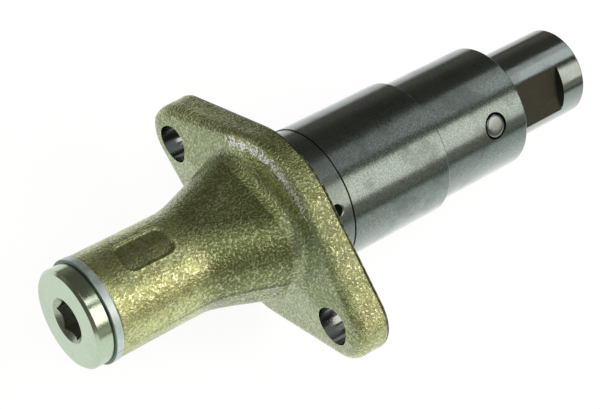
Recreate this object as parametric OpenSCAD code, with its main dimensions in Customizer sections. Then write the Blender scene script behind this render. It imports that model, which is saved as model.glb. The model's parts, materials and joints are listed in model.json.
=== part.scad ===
// Hydraulic timing chain tensioner with a two-bolt flange.
// The origin lies midway between the bolt holes on the flange's mating face. The plunger points
// to +X. The two bolt holes lie along Y, and +Z is the side of the recessed panel. The plunger's
// axis lies a little beside the origin, and every piece is drawn about that axis.

/* [Flange] */
// Thickness of the flange at its ridge between the two bolt holes
flange_t = 9.7; // [8:0.1:13]
// Width across the flange's round waist
waist_d = 51; // [48:0.5:56]
// Width of the round lobe about each bolt hole
lobe_d = 19.6; // [17:0.2:26]
// Distance between the bolt holes
bolt_spacing = 64; // [60:1:74]
// Distance of the plunger's axis from the middle of the bolt holes, along Y
axis_y = 1; // [0:0.1:2]
// Height of the plunger's axis above the middle of the bolt holes
axis_z = 1; // [0:0.1:2]
// Bolt hole diameter
bolt_hole_d = 10; // [8:0.1:11]
// Rounding of the cast front edge
edge_round = 2; // [1:0.1:2.6]
// Slope of the front face away from the ridge, in degrees
face_draft = 7; // [3:0.5:8]
// Height of the machined base under the cast edge
base_t = 0.8; // [0.5:0.1:1.5]
// How far the machined base is set in from the cast edge
base_inset = 0.2; // [0.1:0.05:0.5]

/* [Barrel] */
// Outside diameter of the barrel
barrel_d = 26.3; // [25.5:0.1:27.5]
// Distance from the mating face to the barrel's open end
barrel_reach = 55.4; // [50:0.5:64]
// Distance from the mating face to the start of the flare
flare_reach = 31; // [27:0.5:34]
// Width of the flare at the flange, along the bolt holes
flare_w = 36.4; // [33:0.2:38]
// Height of the flare at the flange, across the bolt holes
flare_h = 28.8; // [28:0.2:31]
// Corner radius of the flare's section at the flange
flare_corner = 11; // [8:0.5:12]
// Fillet between the flare and the flange
foot_fillet = 1.6; // [1:0.1:2.4]
// Diameter of the oil reservoir in the barrel
reservoir_d = 18; // [15:0.5:19]
// Depth of the thread run-out past the screw plug
thread_runout = 3; // [2:0.5:6]
// Length of the recessed panel on the barrel
panel_len = 13.4; // [10:0.2:15]
// Width of the recessed panel
panel_w = 8; // [6:0.2:10]
// Depth of the recessed panel
panel_depth = 0.4; // [0.2:0.1:0.6]
// Distance of the recessed panel from the barrel's open end
panel_setback = 6.9; // [4:0.1:8]
// Turn of the recessed panel away from the top, in degrees
panel_turn = -4; // [-30:1:30]

/* [Spigot] */
// Diameter of the turned spigot in front of the flange
spigot_d = 35.7; // [35:0.1:36]
// Length of the spigot
spigot_len = 9.4; // [8:0.1:12]
// Chamfer at the spigot's front edge
spigot_chamfer = 0.3; // [0.1:0.05:0.6]
// Diameter of the oil feed hole
feed_d = 3.2; // [2:0.1:4]
// Distance from the mating face to the oil feed hole
feed_x = 5.2; // [4:0.1:6]

/* [Screw plug] */
// Nominal thread diameter of the plug
plug_thread_d = 20; // [19:0.5:21]
// Length of the threaded shank
plug_thread_len = 14; // [10:0.5:18]
// Diameter of the collar
collar_d = 25; // [24:0.1:26]
// Thickness of the collar
collar_t = 4.4; // [3:0.1:6]
// Chamfer of the collar's outer edges
collar_chamfer = 0.75; // [0.3:0.05:1]
// Width across flats of the hexagon socket
socket_af = 9; // [8:0.5:11]
// Depth of the hexagon socket
socket_depth = 7; // [5:0.5:10]
// Turn of the hexagon socket, in degrees
socket_turn = 13; // [0:1:60]
// Outside diameter of the seal ring
seal_d = 26.5; // [25.5:0.1:27.5]
// Thickness of the seal ring
seal_t = 2.2; // [1.5:0.1:3]

/* [Cylinder sleeve] */
// Diameter of the pilot land that enters the engine
land_d = 36.2; // [36:0.1:40]
// Length of the pilot land
land_len = 31.3; // [26:0.1:40]
// Diameter of the sleeve's nose
nose_d = 33.4; // [31:0.1:35]
// Length of the nose
nose_len = 29; // [24:0.5:38]
// Gap between the spigot and the pilot land
parting_gap = 0.4; // [0.3:0.05:0.8]
// Diameter of the shank inside the housing
shank_d = 29; // [28:0.5:31]
// Length of the shank inside the housing, from the pilot land
shank_len = 17.8; // [15:0.2:19]
// Depth of the oil flute along the shank
flute_depth = 1.2; // [0.6:0.1:1.5]
// Chamfer of the sleeve's outer edges
sleeve_chamfer = 0.5; // [0.2:0.1:1]

/* [Plunger] */
// Diameter of the plunger
plunger_d = 24; // [22:0.1:25]
// Length of the plunger
plunger_len = 70; // [64:0.5:76]
// How far the plunger stands out of the sleeve at rest
plunger_out = 26.9; // [22:0.1:30]
// Thickness of the solid tip
tip_wall = 9; // [6:0.5:12]
// Chamfer at the tip
tip_chamfer = 0.8; // [0.3:0.1:1.5]
// Diameter of the spring bore
spring_bore_d = 17; // [16.8:0.1:18]
// Depth of the milled flat
flat_depth = 1.8; // [1.5:0.1:2]
// Distance from the tip to the flat's front shoulder
flat_setback = 8.3; // [6:0.1:11]
// Turn of the plunger about its axis against the stop pin, in degrees
plunger_roll = 7; // [0:1:8]

/* [Stop pin] */
// Diameter of the stop pin
pin_d = 6; // [5:0.1:6.5]
// Distance from the nose's end to the stop pin
pin_setback = 10.8; // [9:0.1:13]
// Angle of the pin and the oil feed above the bolt line, in degrees
pin_angle = 42; // [30:1:60]
// How far the pin's end stays above the middle of the flat
pin_lift = 0.8; // [0.7:0.05:1]
// Depth of the countersink about the pin
pin_countersink = 0.4; // [0.2:0.05:0.6]
// Height of the pin's dome above the nose
pin_dome = 0.2; // [0.1:0.05:0.4]

/* [Check valve] */
// Thickness of the valve seat
seat_t = 5; // [4:0.1:6]
// Diameter of the oil orifice
orifice_d = 3.6; // [2.5:0.1:3.8]
// Diameter of the check ball
ball_d = 6; // [5.5:0.1:6.5]
// Lift of the check ball
ball_lift = 0.8; // [0.5:0.1:1.2]
// Section diameter of the ring seal
ring_section = 1.6; // [1.2:0.1:1.8]
// Sheet thickness of the ball cage
cage_t = 0.6; // [0.4:0.05:0.8]
// Room round the check ball in its cage
cage_room = 0.6; // [0.4:0.05:0.8]
// Length of the ball spring at rest
ball_spring_len = 3.4; // [2.6:0.1:4.5]
// Wire of the ball spring
ball_wire_d = 0.36; // [0.3:0.02:0.4]
// Mean coil diameter of the ball spring
ball_coil_d = 3.4; // [3:0.1:3.6]

/* [Main spring] */
// Outside diameter of the coil
coil_d = 16; // [15:0.1:16.3]
// Wire diameter
wire_d = 1.6; // [1.2:0.1:1.8]
// Number of open turns
open_turns = 15; // [8:1:18]
// Diameter of the filler inside the spring
filler_d = 10.4; // [8:0.1:11]
// Length of the filler with its head
filler_len = 50; // [40:1:56]
// Thickness of the filler's head
filler_head_t = 2; // [1.5:0.1:3]

/* [Fits] */
// Radial running clearance of the plunger in the sleeve
running_gap = 0.03; // [0.02:0.01:0.06]
// Radial gap of pieces that are pressed or screwed together
seat_gap = 0.02; // [0.01:0.01:0.04]
// Distance that stays free at the plunger's stops
stop_gap = 0.1; // [0.05:0.05:0.2]

/* [Hidden] */
round_fn = 96;
hull_fn = 40;
arc_steps = 4;
// How far a cutting body runs past the surface it cuts
overrun = 1;

// Radii that several pieces share
waist_r = waist_d / 2;
lobe_r = lobe_d / 2;
lobe_y = bolt_spacing / 2;
barrel_r = barrel_d / 2;
spigot_r = spigot_d / 2;
shank_r = shank_d / 2;
plunger_r = plunger_d / 2;
cylinder_r = plunger_r + running_gap;
thread_r = plug_thread_d / 2;
pin_r = pin_d / 2;
ball_r = ball_d / 2;

// Stations along the axis
barrel_end_x = -barrel_reach;
collar_x = barrel_end_x - seal_t;
plug_face_x = collar_x - collar_t;
land_x = spigot_len + parting_gap;
nose_x = land_x + land_len;
nose_end_x = nose_x + nose_len;
floor_x = land_x - shank_len;
pin_x = nose_end_x - pin_setback;
tip_x = nose_end_x + plunger_out;
plunger_rear_x = tip_x - plunger_len;
spring_bore_x = tip_x - tip_wall;
flat_front_x = tip_x - flat_setback;
flat_rear_x = pin_x - pin_r - stop_gap;
flat_plane_r = plunger_r - flat_depth;
pin_end_r = flat_plane_r + pin_lift;
seat_x = floor_x + seat_t;
cage_flange_x = seat_x + cage_t;
filler_head_x = spring_bore_x - filler_head_t;

// The ball touches the seat's 45 degree cone
seat_cone = 45;
cone_mouth_r = ball_r + seat_gap;
cone_depth = cone_mouth_r - orifice_d / 2;
ball_x = seat_x - cone_mouth_r + (ball_r + seat_gap) / sin(seat_cone);
ball_wire_r = ball_wire_d / 2;
ball_perch_x = ball_x + sqrt(pow(ball_r + ball_wire_r + seat_gap, 2) - pow(ball_coil_d / 2, 2)) - ball_wire_r;
cage_in_r = ball_r + cage_room;
cage_out_r = cage_in_r + cage_t;
cage_in_x = ball_perch_x + ball_spring_len + seat_gap;
cage_lip = 0.3;
cage_flange_r = coil_d / 2 + cage_lip;

// Front height of the cast face at a distance from the ridge
function face_x(z) = -flange_t + abs(z) * tan(face_draft);
// Points of an arc about a centre
function arc(c, r, from, to, steps) =
    [for (i = [0:steps]) c + r * [cos(from + (to - from) * i / steps), sin(from + (to - from) * i / steps)]];
// Direction of the straight edge between the waist and a lobe
edge_sin = (waist_r - lobe_r) / lobe_y;
edge_cos = sqrt(1 - edge_sin * edge_sin);

// Round solid on the X axis from points of radius and station
module turned(points) {
    rotate([0, 90, 0])
        rotate_extrude($fn = round_fn)
            polygon(points);
}

// Straight round bar on the X axis
module bar(r, from_x, to_x) {
    translate([from_x, 0, 0])
        rotate([0, 90, 0])
            cylinder(r = r, h = to_x - from_x, $fn = round_fn);
}

// Turns +Z to the stop pin's side, or further by an angle
module at_pin_angle(extra = 0) {
    rotate([90 - pin_angle + extra, 0, 0])
        children();
}

// Wire swept along a helix on the X axis, with one closed turn at each end
module coil_spring(mean_r, wire_r, from_x, to_x, turns, rings, sides) {
    closed_spread = 1.08;
    closed_pitch = 2 * wire_r * closed_spread;
    start_x = from_x + wire_r;
    open_pitch = (to_x - from_x - 2 * wire_r - 2 * closed_pitch) / turns;
    last = (turns + 2) * rings;
    function station(t) = t < 1 ? t * closed_pitch
        : t > turns + 1 ? closed_pitch * (t - turns) + turns * open_pitch
        : closed_pitch + (t - 1) * open_pitch;
    points = [for (i = [0:last], j = [0:sides - 1])
        let (t = i / rings, a = 360 * t, b = 360 * j / sides, r = mean_r + wire_r * cos(b))
        [start_x + station(t) + wire_r * sin(b), r * cos(a), r * sin(a)]];
    polyhedron(points, tube_faces(last + 1, sides));
}

// Triangles of a closed tube of rings, each ring with the same number of points
function tube_faces(rings, sides) = concat(
    [[for (j = [0:sides - 1]) j]],
    [for (i = [0:rings - 2], j = [0:sides - 1], half = [0, 1])
        let (k = (j + 1) % sides, p = i * sides, q = p + sides)
        half == 0 ? [p + j, q + j, p + k] : [q + j, q + k, p + k]],
    [[for (j = [sides - 1:-1:0]) (rings - 1) * sides + j]]);

// Moves children from the plunger's axis to the middle of the bolt holes
module at_bolts() {
    translate([0, -axis_y, -axis_z])
        children();
}

// Round boss with a rounded front edge, as one lobe of the cast flange
module rounded_boss(r) {
    front_x = face_x(r - edge_round);
    turned(concat(
        [[0, -base_t], [r, -base_t]],
        arc([r - edge_round, front_x + edge_round], edge_round, 0, -90, arc_steps),
        [[0, front_x]]), $fn = hull_fn);
}

// Cast flange: a waist and two lobes under a face that slopes from the ridge
module cast_flange() {
    ridge_len = bolt_spacing + lobe_d - 4 * edge_round;
    ridge_w = 0.2;
    hull() {
        rounded_boss(waist_r);
        for (side = [-1, 1])
            translate([0, side * lobe_y, 0])
                rounded_boss(lobe_r);
        translate([-flange_t, -ridge_len / 2, -ridge_w / 2])
            cube([flange_t / 2, ridge_len, ridge_w]);
    }
}

// Machined base of the flange, which meets the engine
module machined_base() {
    base_waist_r = waist_r - base_inset;
    base_lobe_r = lobe_r - base_inset;
    side_relief = 0.05;
    corners = [for (side = [-1, 1], end = [0, 1])
        let (lobe = side * end * lobe_y, r = (end == 0 ? base_waist_r : base_lobe_r) - side_relief)
        [lobe + side * r * edge_sin, r * edge_cos]];
    top = [corners[1], corners[0], corners[2], corners[3]];
    bottom = [for (i = [3:-1:0]) [top[i].x, -top[i].y]];
    rotate([90, 0, 90])
        translate([0, 0, -2 * base_t])
            linear_extrude(2 * base_t) {
                circle(base_waist_r, $fn = round_fn);
                for (side = [-1, 1])
                    translate([side * lobe_y, 0])
                        circle(base_lobe_r, $fn = round_fn);
                polygon(concat(top, bottom));
            }
}

// Flare from the round barrel to a flat-sided foot on the flange
module flare() {
    sink = 0.3;
    corner_steps = 8;
    start = [barrel_r - sink, barrel_r - sink, barrel_r - 2 * sink];
    foot = [flare_w / 2, flare_h / 2, flare_corner];
    function quarter(s, grow) = [for (i = [0:corner_steps])
        let (a = 90 * i / corner_steps)
        [s[0] - s[2] + (s[2] + grow) * cos(a), s[1] - s[2] + (s[2] + grow) * sin(a)]];
    function outline(s, grow) = let (q = quarter(s, grow)) concat(
        q,
        [for (i = [corner_steps:-1:0]) [-q[i].x, q[i].y]],
        [for (p = q) -p],
        [for (i = [corner_steps:-1:0]) [q[i].x, -q[i].y]]);
    function root_x(z) = face_x(z + axis_z);
    function foot_x(z) = root_x(z) - foot_fillet;
    wall_rings = [for (t = [0, 1 / 3, 2 / 3, 1])
        [for (p = outline(start + (foot - start) * t, 0))
            [-flare_reach + (foot_x(p.y * t) + flare_reach) * t, p.x, p.y]]];
    fillet_rings = [for (a = [25, 50, 75])
        [for (p = outline(foot, foot_fillet * (1 - cos(a))))
            [root_x(p.y) - foot_fillet * (1 - sin(a)), p.x, p.y]]];
    root_ring = [for (p = outline(foot, foot_fillet)) [-flange_t / 2, p.x, p.y]];
    rings = concat(wall_rings, fillet_rings, [root_ring]);
    points = [for (ring = rings, p = ring) p];
    polyhedron(points, tube_faces(len(rings), len(root_ring)));
}

// Shallow recess on top of the barrel
module recessed_panel() {
    rotate([panel_turn, 0, 0])
        intersection() {
            difference() {
                bar(barrel_r + overrun, barrel_end_x, 0);
                bar(barrel_r - panel_depth, barrel_end_x - overrun, overrun);
            }
            translate([barrel_end_x + panel_setback, -panel_w / 2, 0])
                cube([panel_len, panel_w, barrel_r + overrun]);
        }
}

// Iron casting with its turned spigot and bores
module housing() {
    thread_end_x = collar_x + plug_thread_len + thread_runout;
    mouth_chamfer = 0.6;
    feed_slot_t = 2;
    color("#8a8238")
    difference() {
        union() {
            at_bolts() {
                cast_flange();
                machined_base();
            }
            flare();
            bar(barrel_r, barrel_end_x, -flange_t / 2);
            turned([[0, -flange_t / 2], [spigot_r, -flange_t / 2],
                [spigot_r, spigot_len - spigot_chamfer], [spigot_r - spigot_chamfer, spigot_len],
                [0, spigot_len]]);
        }
        bar(thread_r, barrel_end_x - overrun, thread_end_x);
        turned([[0, barrel_end_x - overrun], [thread_r + mouth_chamfer + overrun, barrel_end_x - overrun],
            [thread_r, barrel_end_x + mouth_chamfer], [0, barrel_end_x + mouth_chamfer]]);
        bar(reservoir_d / 2, thread_end_x - overrun, floor_x + overrun);
        bar(shank_r + seat_gap, floor_x, spigot_len + overrun);
        at_bolts()
            for (side = [-1, 1])
                translate([0, side * lobe_y, 0])
                    bar(bolt_hole_d / 2, -flange_t - overrun, overrun);
        at_pin_angle() {
            translate([feed_x, 0, shank_r - overrun])
                cylinder(d = feed_d, h = spigot_r - shank_r + 2 * overrun, $fn = round_fn);
            translate([floor_x - feed_slot_t, -feed_d / 2, 0])
                cube([feed_slot_t + overrun, feed_d, shank_r - flute_depth / 2]);
        }
        recessed_panel();
    }
}

// Collar plug with a hexagon socket
module screw_plug() {
    collar_r = collar_d / 2;
    shank_end_x = collar_x + plug_thread_len;
    screw_r = thread_r - seat_gap;
    neck_depth = 0.9;
    neck_r = thread_r - neck_depth;
    neck_w = 2;
    under_chamfer = 0.3;
    end_chamfer = 1;
    mouth_margin = 0.58;
    mouth_r = socket_af / 2 / cos(30) + mouth_margin;
    mouth_depth = mouth_r - socket_af / 2 + mouth_margin / 3;
    color("#c9cbbd")
    difference() {
        turned([[0, plug_face_x], [collar_r - collar_chamfer, plug_face_x],
            [collar_r, plug_face_x + collar_chamfer], [collar_r, collar_x - under_chamfer],
            [collar_r - under_chamfer, collar_x], [neck_r, collar_x],
            [neck_r, collar_x + neck_w], [screw_r, collar_x + neck_w + neck_depth],
            [screw_r, shank_end_x - end_chamfer], [screw_r - end_chamfer, shank_end_x],
            [0, shank_end_x]]);
        translate([plug_face_x - overrun, 0, 0])
            rotate([socket_turn, 0, 0])
                rotate([0, 90, 0])
                    cylinder(d = socket_af / cos(30), h = socket_depth + overrun, $fn = 6);
        turned([[0, plug_face_x - overrun], [mouth_r + overrun, plug_face_x - overrun],
            [mouth_r - mouth_depth, plug_face_x + mouth_depth], [0, plug_face_x + mouth_depth]]);
    }
}

// Soft metal ring between the plug's collar and the barrel
module plug_seal_ring() {
    ring_r = seal_d / 2;
    bore_room = 0.15;
    bore_r = thread_r + bore_room;
    edge = 0.25;
    color("#b4b9c6")
    turned([[bore_r, collar_x], [ring_r - edge, collar_x], [ring_r, collar_x + edge],
        [ring_r, barrel_end_x - edge], [ring_r - edge, barrel_end_x], [bore_r, barrel_end_x]]);
}

// Ground sleeve that guides the plunger
module cylinder_sleeve() {
    land_r = land_d / 2;
    nose_r = nose_d / 2;
    lead_in = 0.6;
    hole_r = pin_r + seat_gap;
    color("#5b5d58")
    difference() {
        turned([[cylinder_r, floor_x], [shank_r, floor_x], [shank_r, land_x],
            [land_r - sleeve_chamfer, land_x], [land_r, land_x + sleeve_chamfer],
            [land_r, nose_x - sleeve_chamfer], [land_r - sleeve_chamfer, nose_x],
            [nose_r, nose_x], [nose_r, nose_end_x - sleeve_chamfer],
            [nose_r - sleeve_chamfer, nose_end_x], [cylinder_r + lead_in, nose_end_x],
            [cylinder_r, nose_end_x - lead_in]]);
        at_pin_angle() {
            translate([pin_x, 0, plunger_r - overrun])
                cylinder(r = hole_r, h = nose_r, $fn = round_fn);
            translate([pin_x, 0, nose_r - pin_countersink])
                cylinder(r1 = hole_r, r2 = hole_r + 2 * pin_countersink, h = 2 * pin_countersink,
                    $fn = round_fn);
            translate([floor_x - overrun, -feed_d / 2, shank_r - flute_depth])
                cube([feed_x + feed_d / 2 - floor_x + overrun, feed_d, shank_r]);
        }
    }
}

// Domed pin that stops the plunger at both ends of its flat
module stop_pin() {
    dome_sink = 0.5;
    dome_edge_r = nose_d / 2 - dome_sink;
    rise = nose_d / 2 + pin_dome - dome_edge_r;
    dome_r = (pin_r * pin_r + rise * rise) / (2 * rise);
    dome_angle = asin(pin_r / dome_r);
    end_chamfer = 0.3;
    color("#6a6c66")
    at_pin_angle()
        translate([pin_x, 0, 0])
            rotate_extrude($fn = round_fn)
                polygon(concat(
                    [[0, pin_end_r], [pin_r - end_chamfer, pin_end_r], [pin_r, pin_end_r + end_chamfer]],
                    arc([0, dome_edge_r + rise - dome_r], dome_r, 90 - dome_angle, 90, arc_steps)));
}

// Hollow piston with a milled flat
module plunger() {
    bore_r = spring_bore_d / 2;
    rear_chamfer = 0.5;
    color("#8c8e88")
    difference() {
        turned([[bore_r, plunger_rear_x], [plunger_r - rear_chamfer, plunger_rear_x],
            [plunger_r, plunger_rear_x + rear_chamfer], [plunger_r, tip_x - tip_chamfer],
            [plunger_r - tip_chamfer, tip_x], [0, tip_x], [0, spring_bore_x], [bore_r, spring_bore_x]]);
        at_pin_angle(plunger_roll)
            translate([flat_rear_x, -plunger_r, flat_plane_r])
                cube([flat_front_x - flat_rear_x, plunger_d, plunger_r]);
    }
}

// Coil spring between the ball cage and the filler's head
module main_spring() {
    color("#9a9c98")
    coil_spring((coil_d - wire_d) / 2, wire_d / 2, cage_flange_x + seat_gap, filler_head_x - seat_gap,
        open_turns, rings = 16, sides = 6);
}

// Plastic filler that takes up oil volume inside the spring
module filler_pin() {
    filler_r = filler_d / 2;
    head_room = 0.3;
    head_r = spring_bore_d / 2 - head_room;
    end_x = spring_bore_x - filler_len;
    end_chamfer = 1;
    color("#2f2f30")
    turned([[0, end_x], [filler_r - end_chamfer, end_x], [filler_r, end_x + end_chamfer],
        [filler_r, filler_head_x], [head_r, filler_head_x], [head_r, spring_bore_x], [0, spring_bore_x]]);
}

// Disc with the oil orifice and the ball's seat
module valve_seat() {
    rim_r = cylinder_r - seat_gap;
    groove_r = cylinder_r - 2 * seat_gap - ring_section;
    groove_room = 0.4;
    groove_w = ring_section + groove_room;
    groove_x = floor_x + (seat_t - groove_w) / 2;
    inlet_r = 5;
    orifice_land = 1;
    inlet_x = seat_x - cone_depth - orifice_land;
    orifice_r = orifice_d / 2;
    color("#a7a49a")
    turned([[inlet_r, floor_x], [rim_r, floor_x], [rim_r, groove_x], [groove_r, groove_x],
        [groove_r, groove_x + groove_w], [rim_r, groove_x + groove_w], [rim_r, seat_x],
        [cone_mouth_r, seat_x], [orifice_r, seat_x - cone_depth], [orifice_r, inlet_x], [inlet_r, inlet_x]]);
}

// Ring seal in the valve seat's groove
module valve_seal() {
    centre_r = cylinder_r - seat_gap - ring_section / 2;
    color("#1d1d1e")
    translate([floor_x + seat_t / 2, 0, 0])
        rotate([0, 90, 0])
            rotate_extrude($fn = round_fn)
                translate([centre_r, 0])
                    circle(d = ring_section, $fn = round_fn);
}

// Ball of the non-return valve
module check_ball() {
    color("#b9bbb8")
    translate([ball_x, 0, 0])
        sphere(r = ball_r, $fn = round_fn);
}

// Pressed cup over the ball, with four oil windows
module ball_cage() {
    vent_r = 0.9;
    window_w = 2.4;
    window_lift = 0.6;
    window_len = ball_r + window_lift;
    color("#b0a878")
    difference() {
        turned([[cage_in_r, seat_x], [cage_flange_r, seat_x], [cage_flange_r, cage_flange_x],
            [cage_out_r, cage_flange_x], [cage_out_r, cage_in_x + cage_t], [vent_r, cage_in_x + cage_t],
            [vent_r, cage_in_x], [cage_in_r, cage_in_x]]);
        for (turn = [0:90:270])
            rotate([turn, 0, 0])
                translate([cage_flange_x + window_lift, -window_w / 2, 0])
                    cube([window_len, window_w, cage_out_r + overrun]);
    }
}

// Light spring between the ball and the end of its cage
module ball_spring() {
    color("#c2c4c2")
    coil_spring(ball_coil_d / 2, ball_wire_r, ball_perch_x, cage_in_x - seat_gap,
        turns = 3, rings = 14, sides = 6);
}

translate([0, axis_y, axis_z]) {
    housing();
    screw_plug();
    plug_seal_ring();
    cylinder_sleeve();
    stop_pin();
    plunger();
    main_spring();
    filler_pin();
    valve_seat();
    valve_seal();
    check_ball();
    ball_cage();
    ball_spring();
}
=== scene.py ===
"""Finishes of a hydraulic timing chain tensioner: cast housing, turned steel, springs and studio."""

import json
import math

import bmesh
import bpy
import numpy as np
from bpy.props import FloatProperty, FloatVectorProperty, IntProperty, PointerProperty
from mathutils import Matrix, Vector


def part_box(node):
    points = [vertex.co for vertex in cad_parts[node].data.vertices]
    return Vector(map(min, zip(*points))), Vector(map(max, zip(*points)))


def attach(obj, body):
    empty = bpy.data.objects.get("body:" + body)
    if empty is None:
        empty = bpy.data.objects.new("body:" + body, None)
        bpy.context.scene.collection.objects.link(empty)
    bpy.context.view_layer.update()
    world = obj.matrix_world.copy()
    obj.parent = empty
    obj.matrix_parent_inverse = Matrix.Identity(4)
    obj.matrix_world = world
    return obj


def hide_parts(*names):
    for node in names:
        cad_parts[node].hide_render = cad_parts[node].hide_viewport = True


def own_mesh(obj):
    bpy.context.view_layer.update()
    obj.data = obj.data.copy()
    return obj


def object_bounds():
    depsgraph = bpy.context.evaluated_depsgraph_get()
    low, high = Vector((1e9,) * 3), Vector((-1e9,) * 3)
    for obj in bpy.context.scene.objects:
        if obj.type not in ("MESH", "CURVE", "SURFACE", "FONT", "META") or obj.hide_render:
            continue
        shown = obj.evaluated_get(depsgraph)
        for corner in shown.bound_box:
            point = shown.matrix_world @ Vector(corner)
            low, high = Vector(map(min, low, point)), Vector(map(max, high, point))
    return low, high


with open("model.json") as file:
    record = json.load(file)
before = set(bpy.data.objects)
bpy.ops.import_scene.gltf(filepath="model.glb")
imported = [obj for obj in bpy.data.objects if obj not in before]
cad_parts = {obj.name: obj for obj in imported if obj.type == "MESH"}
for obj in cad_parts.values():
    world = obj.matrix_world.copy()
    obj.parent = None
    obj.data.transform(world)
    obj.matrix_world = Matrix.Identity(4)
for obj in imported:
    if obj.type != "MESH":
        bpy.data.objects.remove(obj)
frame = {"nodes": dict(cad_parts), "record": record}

bl_info = {
    "name": "Timing Chain Tensioner",
    "version": (1, 0, 0),
    "blender": (4, 5, 0),
    "location": "View3D > Sidebar > Tensioner",
    "description": "Builds the visible pieces of a hydraulic timing chain tensioner around its solids",
    "category": "Object",
}

CAD_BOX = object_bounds()
MM = 0.001
TURN = 2 * math.pi
MOUNTS = {mount["name"]: mount for mount in frame["record"]["mounts"]}
BOLTS = MOUNTS["flange_bolts"]["dims"]
AXIS = Vector((0, *MOUNTS["plunger_tip"]["pos_m"][1:]))
CAST, MACHINED, BORE, FEED = range(4)
MASK_SOCKET = ("Mask", "NodeSocketFloat")
SHAPE_SOCKET = ("Geometry", "NodeSocketGeometry")


# Property helpers

def length(name, description, size_mm):
    """Length property with its default in millimetres."""
    size = size_mm * MM
    return FloatProperty(name=name, description=description, default=size, unit="LENGTH", precision=5)


def bend(name, description, degrees):
    """Angle property with its default in degrees."""
    angle = math.radians(degrees)
    return FloatProperty(name=name, description=description, default=angle, subtype="ANGLE")


def share(name, description, value):
    """Plain number property."""
    return FloatProperty(name=name, description=description, default=value, precision=3)


def tint(name, description, colour):
    """Linear colour property."""
    return FloatVectorProperty(
        name=name, description=description, default=colour, subtype="COLOR", min=0, max=1)


class CastingShape(bpy.types.PropertyGroup):
    """Sizes of the cast housing."""

    waist_radius: length("Waist radius", "Radius of the flange's round waist", 25.5)
    lobe_radius: length("Lobe radius", "Radius of the lobe about each bolt hole", 9.8)
    flange_thickness: length("Flange thickness", "Thickness of the flange at its ridge", 9.7)
    face_slope: bend("Face slope", "Slope of the flange's face away from its ridge", 7)
    edge_round: length("Edge rounding", "Rounding of the flange's cast edge at the top", 2)
    rubbed_width: length("Rubbed width", "Width of the rubbed bevel on the flange's edge", 1.5)
    edge_soft: length("Edge softening", "Extra rounding of the flange's cast edge elsewhere", 1.2)
    base_height: length("Base height", "Height of the machined base under the cast edge", 0.8)
    base_inset: length("Base inset", "How far the machined base is set in", 0.2)
    barrel_radius: length("Barrel radius", "Outside radius of the barrel", 13.15)
    flare_reach: length("Flare reach", "Distance from the mating face to the start of the flare", 31)
    flare_half_width: length("Flare half width", "Half the flare's width along the bolt holes", 18.2)
    flare_half_height: length("Flare half height", "Half the flare's height across the bolt holes", 14.4)
    flare_corner: length("Flare corner", "Corner radius of the flare's foot", 11)
    foot_fillet: length("Foot fillet", "Fillet between the flare and the flange", 2.4)
    thread_radius: length("Thread radius", "Radius of the threaded mouth", 10)
    mouth_chamfer: length("Mouth chamfer", "Chamfer of the threaded mouth", 0.6)
    thread_depth: length("Thread depth", "Depth of the threaded mouth", 14.8)
    reservoir_radius: length("Reservoir radius", "Radius of the oil reservoir", 9)
    shank_bore: length("Shank bore", "Radius of the bore for the sleeve's shank", 14.52)
    shank_floor: length("Shank floor", "Depth of that bore behind the mating face", 8)
    spigot_radius: length("Spigot radius", "Radius of the turned spigot", 17.85)
    spigot_chamfer: length("Spigot chamfer", "Chamfer at the spigot's front edge", 0.08)
    feed_radius: length("Feed radius", "Radius of the oil feed hole", 1.6)
    feed_station: length("Feed station", "Distance from the mating face to the oil feed hole", 5.2)
    panel_length: length("Panel length", "Length of the recessed panel", 13.4)
    panel_width: length("Panel width", "Width of the recessed panel", 8)
    panel_depth: length("Panel depth", "Depth of the recessed panel", 0.4)
    panel_setback: length("Panel setback", "Distance of the panel from the barrel's end", 6.9)
    panel_turn: bend("Panel turn", "Turn of the panel from the top towards the first bolt hole", 4)
    panel_corner: length("Panel corner", "Corner radius of the recessed panel", 2.4)
    panel_rim: length("Panel rim", "Height of the raised rim about the panel", 0.14)
    parting_rise: length("Parting rise", "Height of the ridge where the mould's halves met", 0.4)
    grain_height: length("Grain height", "Height of the sand grain", 0.08)
    grain_size: length("Grain size", "Size of the sand grain", 0.9)
    ridge_height: length("Ridge height", "Height of the ridges on the flange's upper wall", 0.25)
    ridge_size: length("Ridge size", "Width of the ridges on the flange's upper wall", 1.2)
    ripple_height: length("Ripple height", "Height of the skin's slow waves", 0.16)
    ripple_size: length("Ripple size", "Size of the skin's slow waves", 5)
    seed: IntProperty(name="Seed", description="Seed of the cast skin", default=7)


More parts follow.
